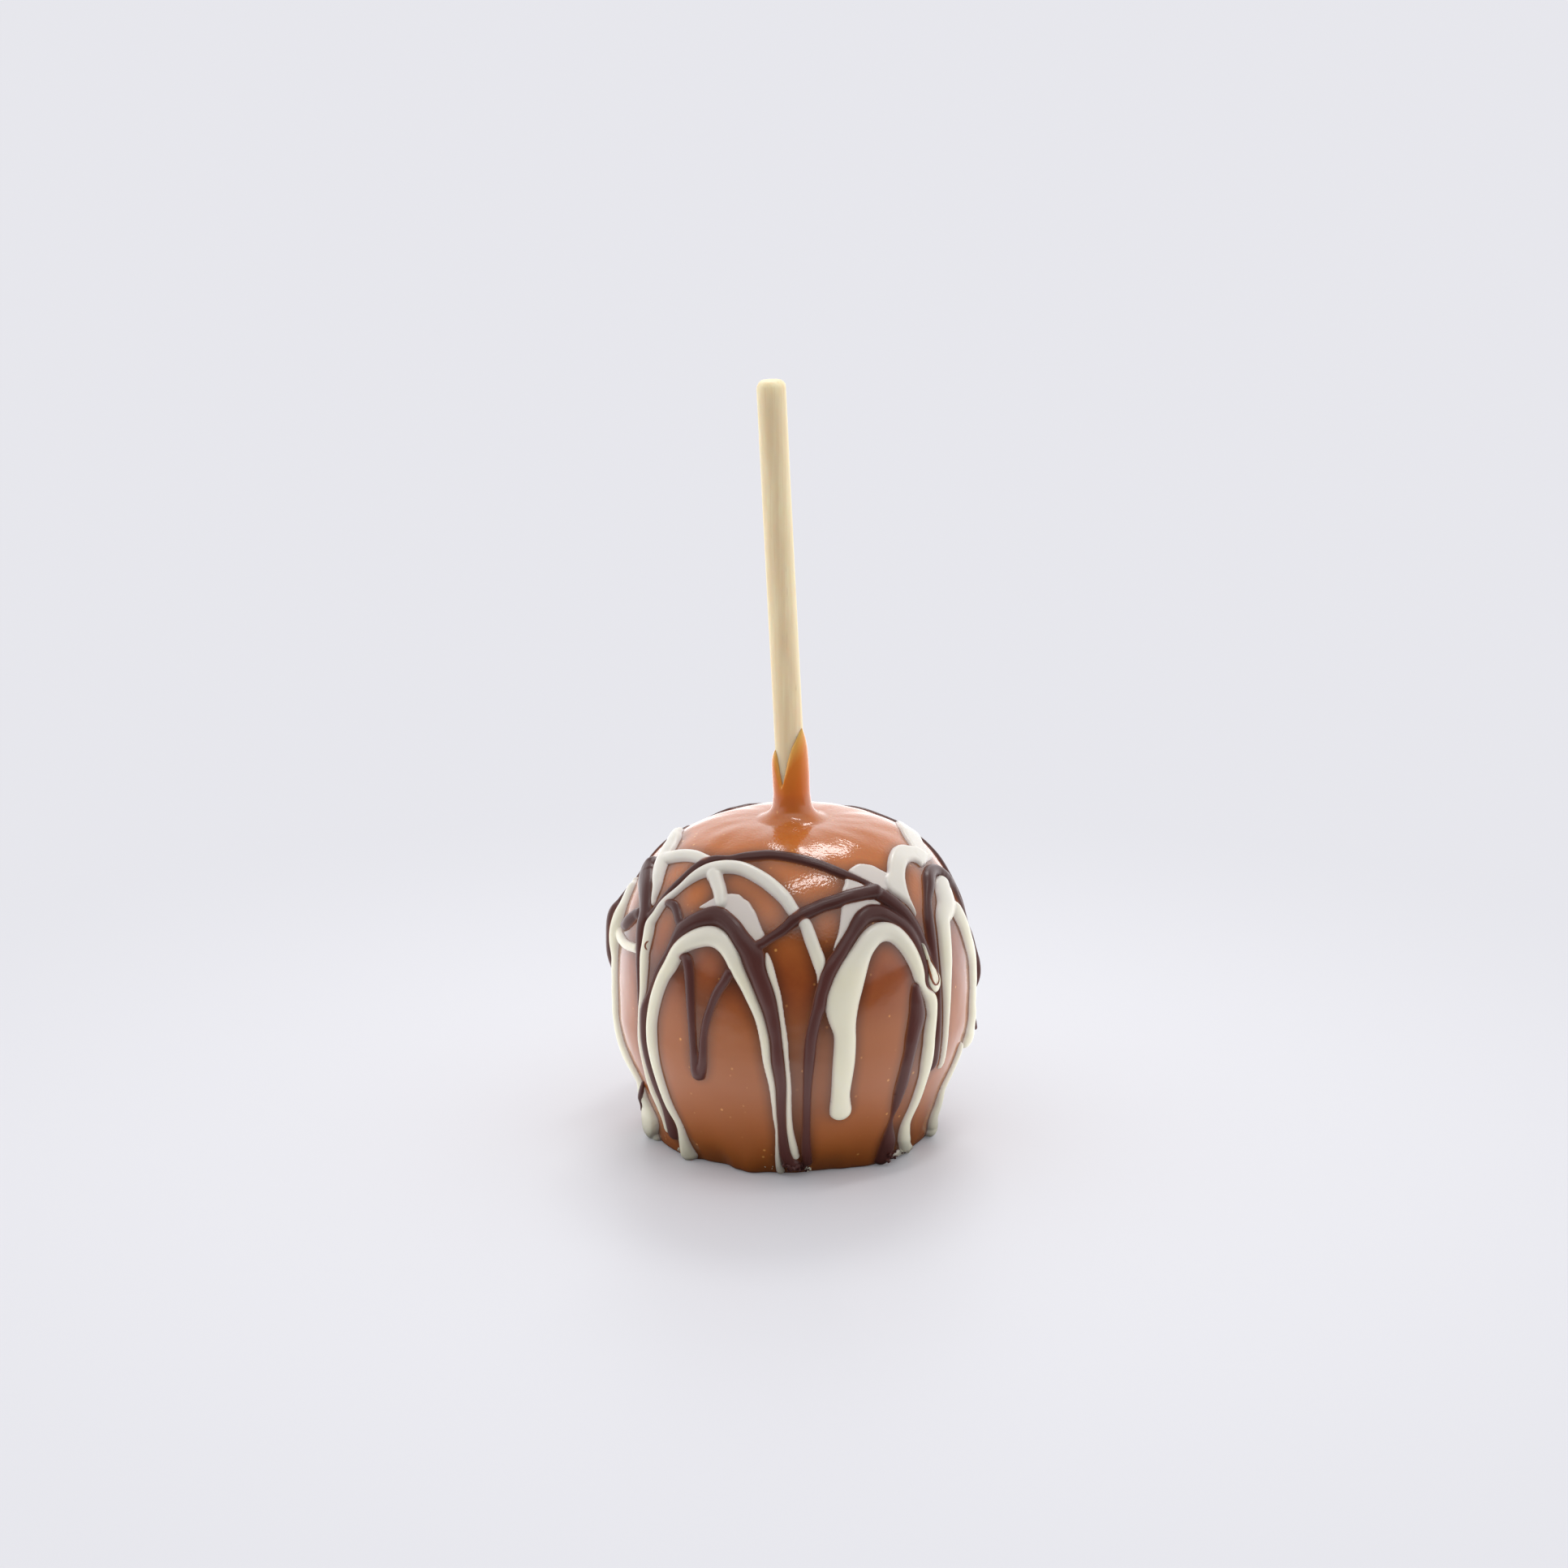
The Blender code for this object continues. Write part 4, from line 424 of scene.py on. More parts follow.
def surfaceTree(lift):
    columns, rings = 160, 90
    a, s = np.meshgrid(np.arange(columns) * 2 * math.pi / columns, np.linspace(0, profileLength, rings))
    points = coatPoints(a, s, lift).reshape(-1, 3)
    faces = [tuple(f) for f in ringFaces(columns, rings).tolist()]
    return BVHTree.FromPolygons([Vector(p) for p in points], faces)


surfaceTrees = {colour: surfaceTree(stand) for colour, stand in drizzleSizes['stand'].items()}


def castOnCoat(route, colour):
    # follow the route from the camera on to the coat: angle, length up the profile, width,
    # how far it stands out where it is seen past the outline, and how surely it is past it
    tree, lift = surfaceTrees[colour], drizzleSizes['stand'][colour]
    path = []
    for u, v, w in route:
        aim = (Vector((u, 0, 0)) + planeUp * v - eye).normalized()
        hit, extra = tree.ray_cast(eye, aim)[0], 0.0
        if hit is None:
            reach = min(range(*cameraView['reaches']), key=lambda d: tree.find_nearest(eye + aim * d)[3])
            places = (tree.find_nearest(eye + aim * (reach + k * 0.5)) for k in range(-8, 9))
            near = min(places, key=lambda place: place[3])
            hit, extra = near[0], near[3]
        a = math.atan2(hit.x, -hit.y)
        z = hit.z - shoulderRise(hit.x, hit.z)
        s = float(profileFromHeight(z))
        s = float(profileFromHeight(z - coatNormals(a, s)[2] * lift))
        path.append([a, s, w, lift + extra + w / 2, min(extra / drizzleSizes['pastFor'], 1)])
    path = np.array(path)
    path[:, 0] = np.unwrap(path[:, 0])
    return path


def layOnCoat(route, colour):
    path = castOnCoat(smoothRoute(route), colour)

    # the width seen becomes the width across the bead
    points = coatPoints(path[:, 0], path[:, 1])
    normals = coatNormals(path[:, 0], path[:, 1])
    count = len(path)
    order = np.arange(count)
    way = points[np.minimum(order + 3, count - 1)] - points[np.maximum(order - 3, 0)]
    side = np.cross(way, normals)
    side /= np.linalg.norm(side, axis=1, keepdims=True) + 1e-9
    sight = points - np.array(eye)
    sight /= np.linalg.norm(sight, axis=1, keepdims=True)
    flat = side - sight * (side * sight).sum(1, keepdims=True)
    wayFlat = way - sight * (way * sight).sum(1, keepdims=True)
    wayFlat /= np.linalg.norm(wayFlat, axis=1, keepdims=True) + 1e-9
    seen = np.linalg.norm(flat - wayFlat * (flat * wayFlat).sum(1, keepdims=True), axis=1)
    path[:, 2] *= np.minimum(2 / (seen + np.sqrt(seen ** 2 + 0.6 * np.maximum(1 - seen ** 2, 0))), 1.9)

    # near the outline the camera tells little about the angle, so there it is averaged further along
    facing = np.abs((sight * normals).sum(1))
    least, most, turnedFrom = drizzleSizes['evenOut']
    out = path.copy()
    for i in range(count):
        reach = least + int(most * max(0, 1 - facing[i] / turnedFrom))
        reach = min(reach, max(i, 1), max(count - 1 - i, 1))
        out[i, 0] = path[max(i - reach, 0):i + reach + 1, 0].mean()
        out[i, 1:] = path[max(i - least, 0):i + least + 1, 1:].mean(axis=0)

    # a dark strand that stands out past the outline lies a little behind it
    if colour == 'dark':
        out[:, 0] += np.sign(out[:, 0]) * drizzleSizes['pushBack'] * out[:, 4]
    return out


def loopsBehind():
    # behind, the drizzle goes on by rule: loops climb from the foot, turn over the shoulder and come down
    k = loopSizes
    rng = random.Random(k['seed'])
    loops = []
    for i in range(k['count']):
        mid = math.radians(k['from'] + (k['to'] - k['from']) * i / (k['count'] - 1)
                           + rng.uniform(-k['jitter'], k['jitter']))
        half = math.radians(rng.uniform(*k['half']))
        top = k['tops'][i % len(k['tops'])] + rng.uniform(-k['topJitter'], k['topJitter'])
        foot = [profileFromHeight(rng.uniform(*height)) for height in k['feet']]
        lean = math.radians(rng.uniform(-k['lean'], k['lean']))
        width = rng.uniform(*k['width'])
        height = profileFromHeight(top)
        t = np.linspace(0, 1, k['points'])
        swing = -np.cos(math.pi * t)
        rise = np.sin(math.pi * t).clip(0) ** k['round']
        start = foot[0] + (foot[1] - foot[0]) * t
        side = np.sign(swing) * np.abs(swing) ** k['square']
        a = mid + half * (1 - k['narrow'] * rise) * side + lean * rise
        a = a + k['sway'] * np.sin(9 * t + i) * np.sin(math.pi * t)
        swell = 0.8 + 0.2 * np.sin(7 * t + 2 * i) + 0.25 * rise  # wider over the top
        path = np.stack([a, start + (height - start) * rise, width * swell, 0 * t, 0 * t], axis=1)
        loops.append(('white' if i % 2 else 'dark', path))
    for route in rimRoutes.values():
        over = smoothRoute(route, 1.0)
        over[:, 0] = np.radians(over[:, 0])
        over[:, 1] = profileFromHeight(over[:, 1])
        loops.append(('dark', np.hstack([over, np.zeros((len(over), 2))])))
    return loops


# the drizzle as heights above the coat, one grid for each chocolate: rows up the profile, columns round it
cell = drizzleSizes['cell']
gridColumns = int(2 * math.pi * coatSizes['waistRadius'] / cell)
gridRows = int(profileLength / cell) + 1
gridTurn = 2 * math.pi / gridColumns
gridRadii = np.maximum(np.interp(np.arange(gridRows) * cell, profileLengths, profileRadii), 5)
nowhere = -2.0
heights = {colour: np.full((gridRows, gridColumns), nowhere) for colour in ('white', 'dark')}
along = {colour: np.zeros((gridRows, gridColumns)) for colour in heights}
across = {colour: np.zeros((gridRows, gridColumns)) for colour in heights}


def soften(values, reach, ends='edge'):
    kernel = np.exp(-(np.arange(-3 * reach, 3 * reach + 1) / reach) ** 2 / 2)
    kernel /= kernel.sum()
    return np.convolve(np.pad(values, 3 * reach, mode=ends), kernel, mode='valid')


def mergeInto(colour, fresh, freshAlong, freshAcross):
    # the new bead flows into what is there of its own colour
    old, blend = heights[colour], drizzleSizes['blend']
    gap = np.maximum(blend - np.abs(fresh - old), 0) * (np.minimum(fresh, old) > drizzleSizes['blendFrom'])
    won = fresh > old
    along[colour] = np.where(won, freshAlong, along[colour])
    across[colour] = np.where(won, freshAcross, across[colour])
    heights[colour] = np.maximum(fresh, old) + gap ** 2 / (4 * blend)


def paint(colour, path, over=True, seed=0):
    # lay one bead over what is there already
    d = drizzleSizes
    points = coatPoints(path[:, 0], path[:, 1])
    gone = np.concatenate([[0], np.cumsum(np.linalg.norm(np.diff(points, axis=0), axis=1))])
    count = max(4, int(gone[-1] / d['beadStep']))
    at = np.linspace(0, gone[-1], count)
    a, s, w, total, hangs = (np.interp(at, gone, path[:, k]) for k in range(5))
    r = np.maximum(np.interp(s, profileLengths, profileRadii), 5)
    columnAt = np.round(a / gridTurn).astype(int) % gridColumns
    rowAt = np.clip(np.round(s / cell).astype(int), 0, gridRows - 1)
    lift = np.maximum(np.maximum(heights['white'], heights['dark']), 0)[rowAt, columnAt]
    lift = soften(lift * (d['over'] if over else 0), d['overReach'])

    # past the outline a bead reaches as far out as it is seen to, and is thick enough to look poured
    w = w + (np.maximum(w, d['hangWidth'] * total) - w) * hangs
    h = np.minimum(d['beadRise'] * w, d['beadMost'])
    lift = lift + (total - h - lift) * hangs
    h = h * (1 + d['unevenness'] * np.sin(at * 0.5 + seed))

    fresh = np.full((gridRows, gridColumns), nowhere)
    freshAlong = np.zeros_like(fresh)
    freshAcross = np.zeros_like(fresh)
    wayA, wayS = np.gradient(a) * r, np.gradient(s)
    run = np.hypot(wayA, wayS) + 1e-9
    for k in range(count):
        half = w[k] / 2
        skirt = lift[k] / (2 + 1.2 * lift[k])  # how far the bead's side runs down to the coat
        reach = half + skirt + 0.9
        spread = int(reach / (r[k] * gridTurn)) + 1
        ii = columnAt[k] + np.arange(-spread, spread + 1)
        jj = np.arange(max(int((s[k] - reach) / cell), 0), min(int((s[k] + reach) / cell) + 2, gridRows))
        turned = round(a[k] / gridTurn) - columnAt[k]
        dx = ((ii + turned) * gridTurn - a[k]) * r[k]
        dy = jj * cell - s[k]
        away = np.hypot(dx[None, :], dy[:, None])
        dome = h[k] * np.clip(1 - (away / half) ** 2, 0, 1) ** d['beadPower']
        past = away - half
        value = np.where(past < 0, lift[k] + np.minimum(dome, -past * d['edgeSlope']),
                         np.where(past < skirt, lift[k] * (1 - past / max(skirt, 1e-6)),
                                  (skirt - past) * d['fallSlope']))
        where = np.ix_(jj, ii % gridColumns)
        old = fresh[where]
        better = value > old
        fresh[where] = np.where(better, value, old)
        freshAlong[where] = np.where(better, at[k] + d['streakSeed'] * seed, freshAlong[where])
        turn = (dx[None, :] * wayS[k] - dy[:, None] * wayA[k]) / run[k]
        freshAcross[where] = np.where(better, turn, freshAcross[where])
    mergeInto(colour, fresh, freshAlong, freshAcross)


def pour(colour, outline, rise, edge):
    # fill an outline with a pool that is flat in the middle and rounds down to its edge
    route = smoothRoute([(u, v, 1) for u, v in outline + outline[:1]])
    path = castOnCoat(route, colour)[:-1]
    past = np.clip(2 * soften(path[:, 4], 3, 'wrap'), 0, 1)  # past the outline its border is smoothed
    a, s = (path[:, k] + (soften(path[:, k], 4, 'wrap') - path[:, k]) * past for k in (0, 1))
    a, s = np.append(a, a[0]), np.append(s, s[0])
    reach = drizzleSizes['poolReach']
    first, last = a.min() - reach / gridRadii.min(), a.max() + 0.1
    columns = np.arange(int(first / gridTurn), int(last / gridTurn) + 2)
    rows = np.arange(max(int((s.min() - reach) / cell), 0), min(int((s.max() + reach) / cell) + 2, gridRows))
    r = gridRadii[rows][:, None]
    nearest = np.full((len(rows), len(columns)), 99.0)
    crossings = np.zeros(nearest.shape, int)
    for k in range(len(a) - 1):
        x0, x1 = (columns[None, :] * gridTurn - a[k]) * r, (columns[None, :] * gridTurn - a[k + 1]) * r
        y0, y1 = rows[:, None] * cell - s[k], rows[:, None] * cell - s[k + 1]
        stepX, stepY = x0 - x1, y0 - y1
        share = np.clip((x0 * stepX + y0 * stepY) / (stepX ** 2 + stepY ** 2 + 1e-9), 0, 1)
        nearest = np.minimum(nearest, np.hypot(x0 - share * stepX, y0 - share * stepY))
        climb = np.where(np.abs(stepY) < 1e-9, 1e-9, stepY)
        crossings += ((y0 > 0) != (y1 > 0)) & (x0 - y0 * stepX / climb < 0)
    inside = crossings % 2 == 1
    dome = rise * np.sqrt(1 - (1 - np.minimum(nearest / edge, 1)) ** 2)
    value = np.where(inside, np.minimum(dome, nearest * drizzleSizes['edgeSlope']),
                     -nearest * drizzleSizes['fallSlope'])
    fresh = np.full((gridRows, gridColumns), nowhere)
    fresh[np.ix_(rows, columns % gridColumns)] = value
    mergeInto(colour, fresh, np.zeros_like(fresh), np.zeros_like(fresh))


def paintAll():
    seed = 0
    innerLegs = ('innerLeftLeg', 'innerRightLeg')  # these two lie under the white
    for name in innerLegs:
        seed += 1
        paint('dark', layOnCoat(darkRoutes[name], 'white'), over=False, seed=seed)
    for pool in whitePools.values():
        pour('white', **pool)
    for route in whiteRoutes.values():
        seed += 1
        paint('white', layOnCoat(route, 'white'), over=False, seed=seed)
    for name, route in darkRoutes.items():
        if name not in innerLegs:
            seed += 1
            paint('dark', layOnCoat(route, 'dark'), seed=seed)
    for colour, path in loopsBehind():
        seed += 1
        paint(colour, path, seed=seed)
    print('drizzle laid:', seed, 'strands and', len(whitePools), 'pools')


paintAll()


def makeGroup(name, inputs, outputs):
    group = bpy.data.node_groups.new(name, 'ShaderNodeTree')
    for label, value in inputs.items():
        socket = group.interface.new_socket(label, in_out='INPUT', socket_type='NodeSocketFloat')
        socket.default_value = value
    for label in outputs:
        group.interface.new_socket(label, in_out='OUTPUT', socket_type='NodeSocketFloat')
    return group, group.nodes.new('NodeGroupInput'), group.nodes.new('NodeGroupOutput')


def noiseNode(tree, scale, detail=2.0, rough=0.5):
    node = tree.nodes.new('ShaderNodeTexNoise')
    node.inputs['Scale'].default_value = scale
    node.inputs['Detail'].default_value = detail
    node.inputs['Roughness'].default_value = rough
    return node


def mathNode(tree, operation, first, second=None):
    node = tree.nodes.new('ShaderNodeMath')
    node.operation = operation
    for socket, value in zip(node.inputs, (first, second)):
        if isinstance(value, (int, float)):
            socket.default_value = value
        elif value is not None:
            tree.links.new(value, socket)
    return node.outputs[0]


def surfaceWaves():
    # soft mottling and fine pebbling, used by the caramel and both chocolates
    group, start, end = makeGroup(
        'surfaceWaves', {'Large Scale': 120.0, 'Fine Scale': 900.0, 'Fine Share': 0.4}, ('Height', 'Mottle'))
    place = group.nodes.new('ShaderNodeTexCoord')
    large = noiseNode(group, 120, 2)
    fine = group.nodes.new('ShaderNodeTexVoronoi')
    fine.feature = 'SMOOTH_F1'
    fine.inputs['Smoothness'].default_value = 1.0
    group.links.new(place.outputs['Object'], large.inputs['Vector'])
    group.links.new(place.outputs['Object'], fine.inputs['Vector'])
    group.links.new(start.outputs['Large Scale'], large.inputs['Scale'])
    group.links.new(start.outputs['Fine Scale'], fine.inputs['Scale'])
    dome = mathNode(group, 'MULTIPLY', fine.outputs['Distance'], fine.outputs['Distance'])
    scaled = mathNode(group, 'MULTIPLY', mathNode(group, 'SUBTRACT', 1.0, dome), start.outputs['Fine Share'])
    group.links.new(mathNode(group, 'ADD', large.outputs['Fac'], scaled), end.inputs['Height'])
    group.links.new(large.outputs['Fac'], end.inputs['Mottle'])
    return group


wavesGroup = surfaceWaves()


def newMaterial(name):
    material = bpy.data.materials.new(name)
    material.use_nodes = True
    tree = material.node_tree
    return material, tree, tree.nodes['Principled BSDF']


def addBump(tree, height, strength, distance, shader):
    bump = tree.nodes.new('ShaderNodeBump')
    bump.inputs['Strength'].default_value = strength
    bump.inputs['Distance'].default_value = distance
    tree.links.new(height, bump.inputs['Height'])
    tree.links.new(bump.outputs['Normal'], shader.inputs['Normal'])
    return bump


def useWaves(tree, shader, largeScale, fineScale, fineShare, strength, distance):
    waves = tree.nodes.new('ShaderNodeGroup')
    waves.node_tree = wavesGroup
    waves.inputs['Large Scale'].default_value = largeScale
    waves.inputs['Fine Scale'].default_value = fineScale
    waves.inputs['Fine Share'].default_value = fineShare
    return waves, addBump(tree, waves.outputs['Height'], strength, distance, shader)


def blended(tree, factor, low, high, mode='MIX'):
    # from one colour to another by a factor, each of them fixed or from another node
    mix = tree.nodes.new('ShaderNodeMix')
    mix.data_type = 'RGBA'
    mix.blend_type = mode
    for socket, value in ((0, factor), (6, low), (7, high)):
        if isinstance(value, bpy.types.NodeSocket):
            tree.links.new(value, mix.inputs[socket])
        else:
            mix.inputs[socket].default_value = (*value, 1) if isinstance(value, tuple) else value
    return mix.outputs[2]


def mapped(tree, value, *stops, kind='LINEAR'):
    # a value carried over from one range to another: low, high, and what they become
    node = tree.nodes.new('ShaderNodeMapRange')
    node.interpolation_type = kind
    for socket, stop in enumerate(stops):
        node.inputs[socket + 1].default_value = stop
    tree.links.new(value, node.inputs[0])
    return node.outputs[0]


def attributeFrom(tree, name):
    node = tree.nodes.new('ShaderNodeAttribute')
    node.attribute_name = name
    return node.outputs['Fac']


def setScatter(shader, weight, radius, scale):
    shader.inputs['Subsurface Weight'].default_value = weight
    shader.inputs['Subsurface Radius'].default_value = radius
    shader.inputs['Subsurface Scale'].default_value = scale


shoulderRange = 0.047, 0.063  # in m, as the shader reads heights


def placeAlong(tree, axis, source='Object'):
    # where a point lies along one axis
    place = tree.nodes.new('ShaderNodeTexCoord')
    split = tree.nodes.new('ShaderNodeSeparateXYZ')
    tree.links.new(place.outputs[source], split.inputs[0])
    return split.outputs[axis]


def upShoulder(tree, low, high):
    # a value that changes from the waist up to the shoulder
    return mapped(tree, placeAlong(tree, 'Z'), *shoulderRange, low, high, kind='SMOOTHSTEP')


# painted light: the shoulder gets its own colour, paler on the caramel for the light and reflection from
# above, darker on the chocolates to hold that light back
def paintShoulderLight(tree, colour, paintedShoulderLight):
    return blended(tree, upShoulder(tree, 0.0, 1.0), colour, paintedShoulderLight)


# painted light: the low colour pales the lower body for light bounced from the floor, and the shoulder colour
# pales the top for light from above
caramelLook = {
    'deep': (0.205, 0.037, 0.0055), 'light': (0.315, 0.075, 0.0115), 'paintedLowLight': (0.375, 0.108, 0.019),
    'paintedShoulderLight': (0.46, 0.135, 0.027), 'speck': (0.66, 0.29, 0.075), 'thin': (0.66, 0.17, 0.023),
    'thinner': (0.76, 0.225, 0.03), 'tip': (0.90, 0.46, 0.12),
    'rough': 0.14, 'waves': (150, 1800, 0.35, 0.22, 0.00025), 'pebbling': (0.1, 0.75),
    'smooth': (0.0, 0.12, 1.0, 0.1), 'patches': (55, 9, 0.66), 'patchEdges': (0.3, 0.7),
    'specks': (330, 0.13), 'speckShare': (0.2, 0.9), 'paintedLowLightReach': (0.034, 0.048), 'paintedLowLightShare': 0.8,
    # painted shade: the shaded colour darkens the caramel between strands that lie close together
    'paintedShade': (0.38, 0.375, 0.46), 'paintedShadeFrom': 0.12, 'paintedShadeTo': 0.6, 'thinAt': 0.45, 'thinnerAt': 0.82,
    'glowBy': 0.5, 'glowShare': 0.9, 'gleam': (0.1, 0.6, 0.5, 0.2), 'bending': 1.55,
    'scatter': (0.3, (1.0, 0.35, 0.1), 0.004),
}


def colourRamp(tree, factor, *stops):
    # colours along a value, each stop a place and a colour or a plain number
    node = tree.nodes.new('ShaderNodeValToRGB')
    while len(node.color_ramp.elements) < len(stops):
        node.color_ramp.elements.new(1.0)
    for element, (place, colour) in zip(node.color_ramp.elements, stops):
        element.position = place
        element.color = (*colour, 1) if isinstance(colour, tuple) else (colour, colour, colour, 1)
    tree.links.new(factor, node.inputs[0])
    return node.outputs[0]


def speckMask(tree, place, scale, radius):
    # tiny bubbles under the surface, few and scattered
    cells = tree.nodes.new('ShaderNodeTexVoronoi')
    cells.inputs['Scale'].default_value = scale
    tree.links.new(place.outputs['Object'], cells.inputs['Vector'])
    spot = mapped(tree, cells.outputs['Distance'], radius, radius * 0.45, 0.0, 1.0)
    chosen = tree.nodes.new('ShaderNodeSeparateColor')
    tree.links.new(cells.outputs['Color'], chosen.inputs[0])
    some = mapped(tree, chosen.outputs[0], *caramelLook['speckShare'], 0.0, 1.0)
    return mathNode(tree, 'MULTIPLY', spot, some)


def caramelMaterial():
    k = caramelLook
    material, tree, shader = newMaterial('caramel')
    place = tree.nodes.new('ShaderNodeTexCoord')
    cover, thin = attributeFrom(tree, 'drizzleShadeMask'), attributeFrom(tree, 'thinness')

    # the mass of the caramel: patchy, and painted light makes it paler low down and on the shoulder
    patches = noiseNode(tree, *k['patches'])
    tree.links.new(place.outputs['Object'], patches.inputs['Vector'])
    spread = mapped(tree, patches.outputs['Fac'], *k['patchEdges'], 0.0, 1.0)
    base = blended(tree, spread, k['deep'], k['light'])
    low = mapped(tree, placeAlong(tree, 'Z'), *k['paintedLowLightReach'], k['paintedLowLightShare'], 0.0, kind='SMOOTHSTEP')
    body = paintShoulderLight(tree, blended(tree, low, base, k['paintedLowLight']), k['paintedShoulderLight'])

    # painted shade: between strands that lie close together the caramel is darkened, and up the collar it
    # thins out and glows
    shade = colourRamp(tree, cover, (k['paintedShadeFrom'], 1.0), (k['paintedShadeTo'], k['paintedShade']))
    body = blended(tree, 1.0, body, shade, mode='MULTIPLY')
    body = blended(tree, speckMask(tree, place, *k['specks']), body, k['speck'])
    glow = colourRamp(tree, thin, (k['thinAt'], k['thin']), (k['thinnerAt'], k['thinner']), (1.0, k['tip']))
    colour = blended(tree, mapped(tree, thin, 0.0, k['glowBy'], 0.0, k['glowShare']), body, glow)
    tree.links.new(colour, shader.inputs['Base Color'])

    # pebbled on the shoulder, smooth on the collar
    waves = useWaves(tree, shader, *k['waves'])[0]
    pebbling = mathNode(tree, 'MULTIPLY', upShoulder(tree, *k['pebbling']), mapped(tree, thin, *k['smooth']))
    tree.links.new(pebbling, waves.inputs['Fine Share'])
    tree.links.new(mapped(tree, thin, *k['gleam']), shader.inputs['Specular IOR Level'])
    shader.inputs['Roughness'].default_value = k['rough']
    shader.inputs['IOR'].default_value = k['bending']
    setScatter(shader, *k['scatter'])
    return material


# colours in the mass of the chocolate, on the shoulder (painted shade that darkens the top under the strong
# light from above), in a thin film over the caramel and at the edge
darkLook = {
    'deep': (0.070, 0.0195, 0.0155), 'light': (0.098, 0.029, 0.024), 'paintedShoulderLight': (0.058, 0.0145, 0.011),
    'film': (0.17, 0.05, 0.022), 'edge': (0.24, 0.072, 0.028), 'filmTo': 0.5, 'cover': 0.95,
    'rough': 0.33, 'gloss': 0.4, 'streaky': (0.3, 0.0002),
}
# the white's dark brown edge tone is partly caramel seen through its thin edge and partly painted contact
# shade
whiteLook = {
    'deep': (0.775, 0.73, 0.555), 'light': (0.80, 0.765, 0.63), 'paintedShoulderLight': (0.675, 0.645, 0.575),
    'film': (0.55, 0.44, 0.43), 'edge': (0.30, 0.15, 0.10), 'filmTo': 0.3, 'cover': 0.6,
    'rough': 0.3, 'gloss': 0.5, 'scatter': (0.3, (1.0, 0.85, 0.6), 0.0012),
}
chocolateWaves = 150, 1800, 0.12, 0.22, 0.00015
chocolateBending = 1.46
filmDepths = 0.02, 0.2  # in mm, how thick it is where it has the edge's tone and the film's


def chocolateMaterial(name, look):
    material, tree, shader = newMaterial(name)
    waves, bump = useWaves(tree, shader, *chocolateWaves)
    body = blended(tree, waves.outputs['Mottle'], look['deep'], look['light'])
    body = paintShoulderLight(tree, body, look['paintedShoulderLight'])
    depth = attributeFrom(tree, 'thickness')
    film = colourRamp(tree, depth, *zip(filmDepths, (look['edge'], look['film'])))
    fade = colourRamp(tree, depth, (0, 0.0), (look['filmTo'], look['cover']), (1, 1.0))
    tree.links.new(blended(tree, fade, film, body), shader.inputs['Base Color'])
    if 'streaky' in look:  # fine lines along the strand
        lane = tree.nodes.new('ShaderNodeUVMap')
        lane.uv_map = 'strand'
        streaks = noiseNode(tree, 1.0, 2)
        tree.links.new(lane.outputs['UV'], streaks.inputs['Vector'])
        lined = addBump(tree, streaks.outputs['Fac'], *look['streaky'], shader)
        tree.links.new(bump.outputs['Normal'], lined.inputs['Normal'])
    shader.inputs['Roughness'].default_value = look['rough']
    shader.inputs['Specular IOR Level'].default_value = look['gloss']
    shader.inputs['IOR'].default_value = chocolateBending
    if 'scatter' in look:
        setScatter(shader, *look['scatter'])
    return material


woodLook = {
    'pale': (0.87, 0.78, 0.54), 'rough': 0.75, 'gloss': 0.12, 'scatter': (0.7, (1.0, 0.8, 0.55), 0.003),
    'relief': (0.4, 0.0001),
    # each a colour, how fine it is across and along the dowel, where it starts and is full, and its share
    'marks': {
        'grain': ((0.78, 0.64, 0.40), 1500, 45, 0.35, 0.72, 0.8),
        'patch': ((0.80, 0.65, 0.43), 260, 60, 0.42, 0.7, 0.75),
        'pore': ((0.45, 0.30, 0.17), 2600, 110, 0.68, 0.76, 0.5),
    },
}


def woodGrain(tree, place, acrossScale, alongScale, low, high, most):
    # long soft lines up the dowel
    stretch = tree.nodes.new('ShaderNodeMapping')
    stretch.inputs['Scale'].default_value = (acrossScale, acrossScale, alongScale)
    tree.links.new(place.outputs['Object'], stretch.inputs['Vector'])
    lines = noiseNode(tree, 1.0, 3, 0.6)
    tree.links.new(stretch.outputs['Vector'], lines.inputs['Vector'])
    return mapped(tree, lines.outputs['Fac'], low, high, 0.0, most)


def woodMaterial():
    k = woodLook
    material, tree, shader = newMaterial('dowelWood')
    place = tree.nodes.new('ShaderNodeTexCoord')
    colour = k['pale']
    masks = {}
    for name, (tone, *scales) in k['marks'].items():
        masks[name] = woodGrain(tree, place, *scales)
        colour = blended(tree, masks[name], colour, tone)
    tree.links.new(colour, shader.inputs['Base Color'])
    addBump(tree, masks['grain'], *k['relief'], shader)
    shader.inputs['Roughness'].default_value = k['rough']
    shader.inputs['Specular IOR Level'].default_value = k['gloss']
    setScatter(shader, *k['scatter'])
    return material


def onGrid(grid, a, s):
    # the value of a grid at a place on the coat
    x, y = np.asarray(a) / gridTurn, np.clip(np.asarray(s) / cell, 0, gridRows - 1.001)
    i, j = np.floor(x).astype(int), np.floor(y).astype(int)
    fx, fy = x - i, y - j
    i, k = i % gridColumns, (i + 1) % gridColumns
    return ((grid[j, i] * (1 - fx) + grid[j, k] * fx) * (1 - fy)
            + (grid[j + 1, i] * (1 - fx) + grid[j + 1, k] * fx) * fy)


def drizzleShadeMask():
    # how much of the coat round each place lies under drizzle, the mask for the caramel's painted shade
    covered = (np.maximum(heights['white'], heights['dark']) > 0).astype(float)
    reach = int(coatSizes['coverReach'] / cell)
    covered = np.array([soften(row, reach, 'wrap') for row in covered])
    return np.array([soften(column, reach) for column in covered.T]).T


def roundStick(a, z, radius):
    # a ring round the stick
    return stickAxis(z) + np.stack([radius * np.sin(a), -radius * np.cos(a), 0 * a], axis=1)


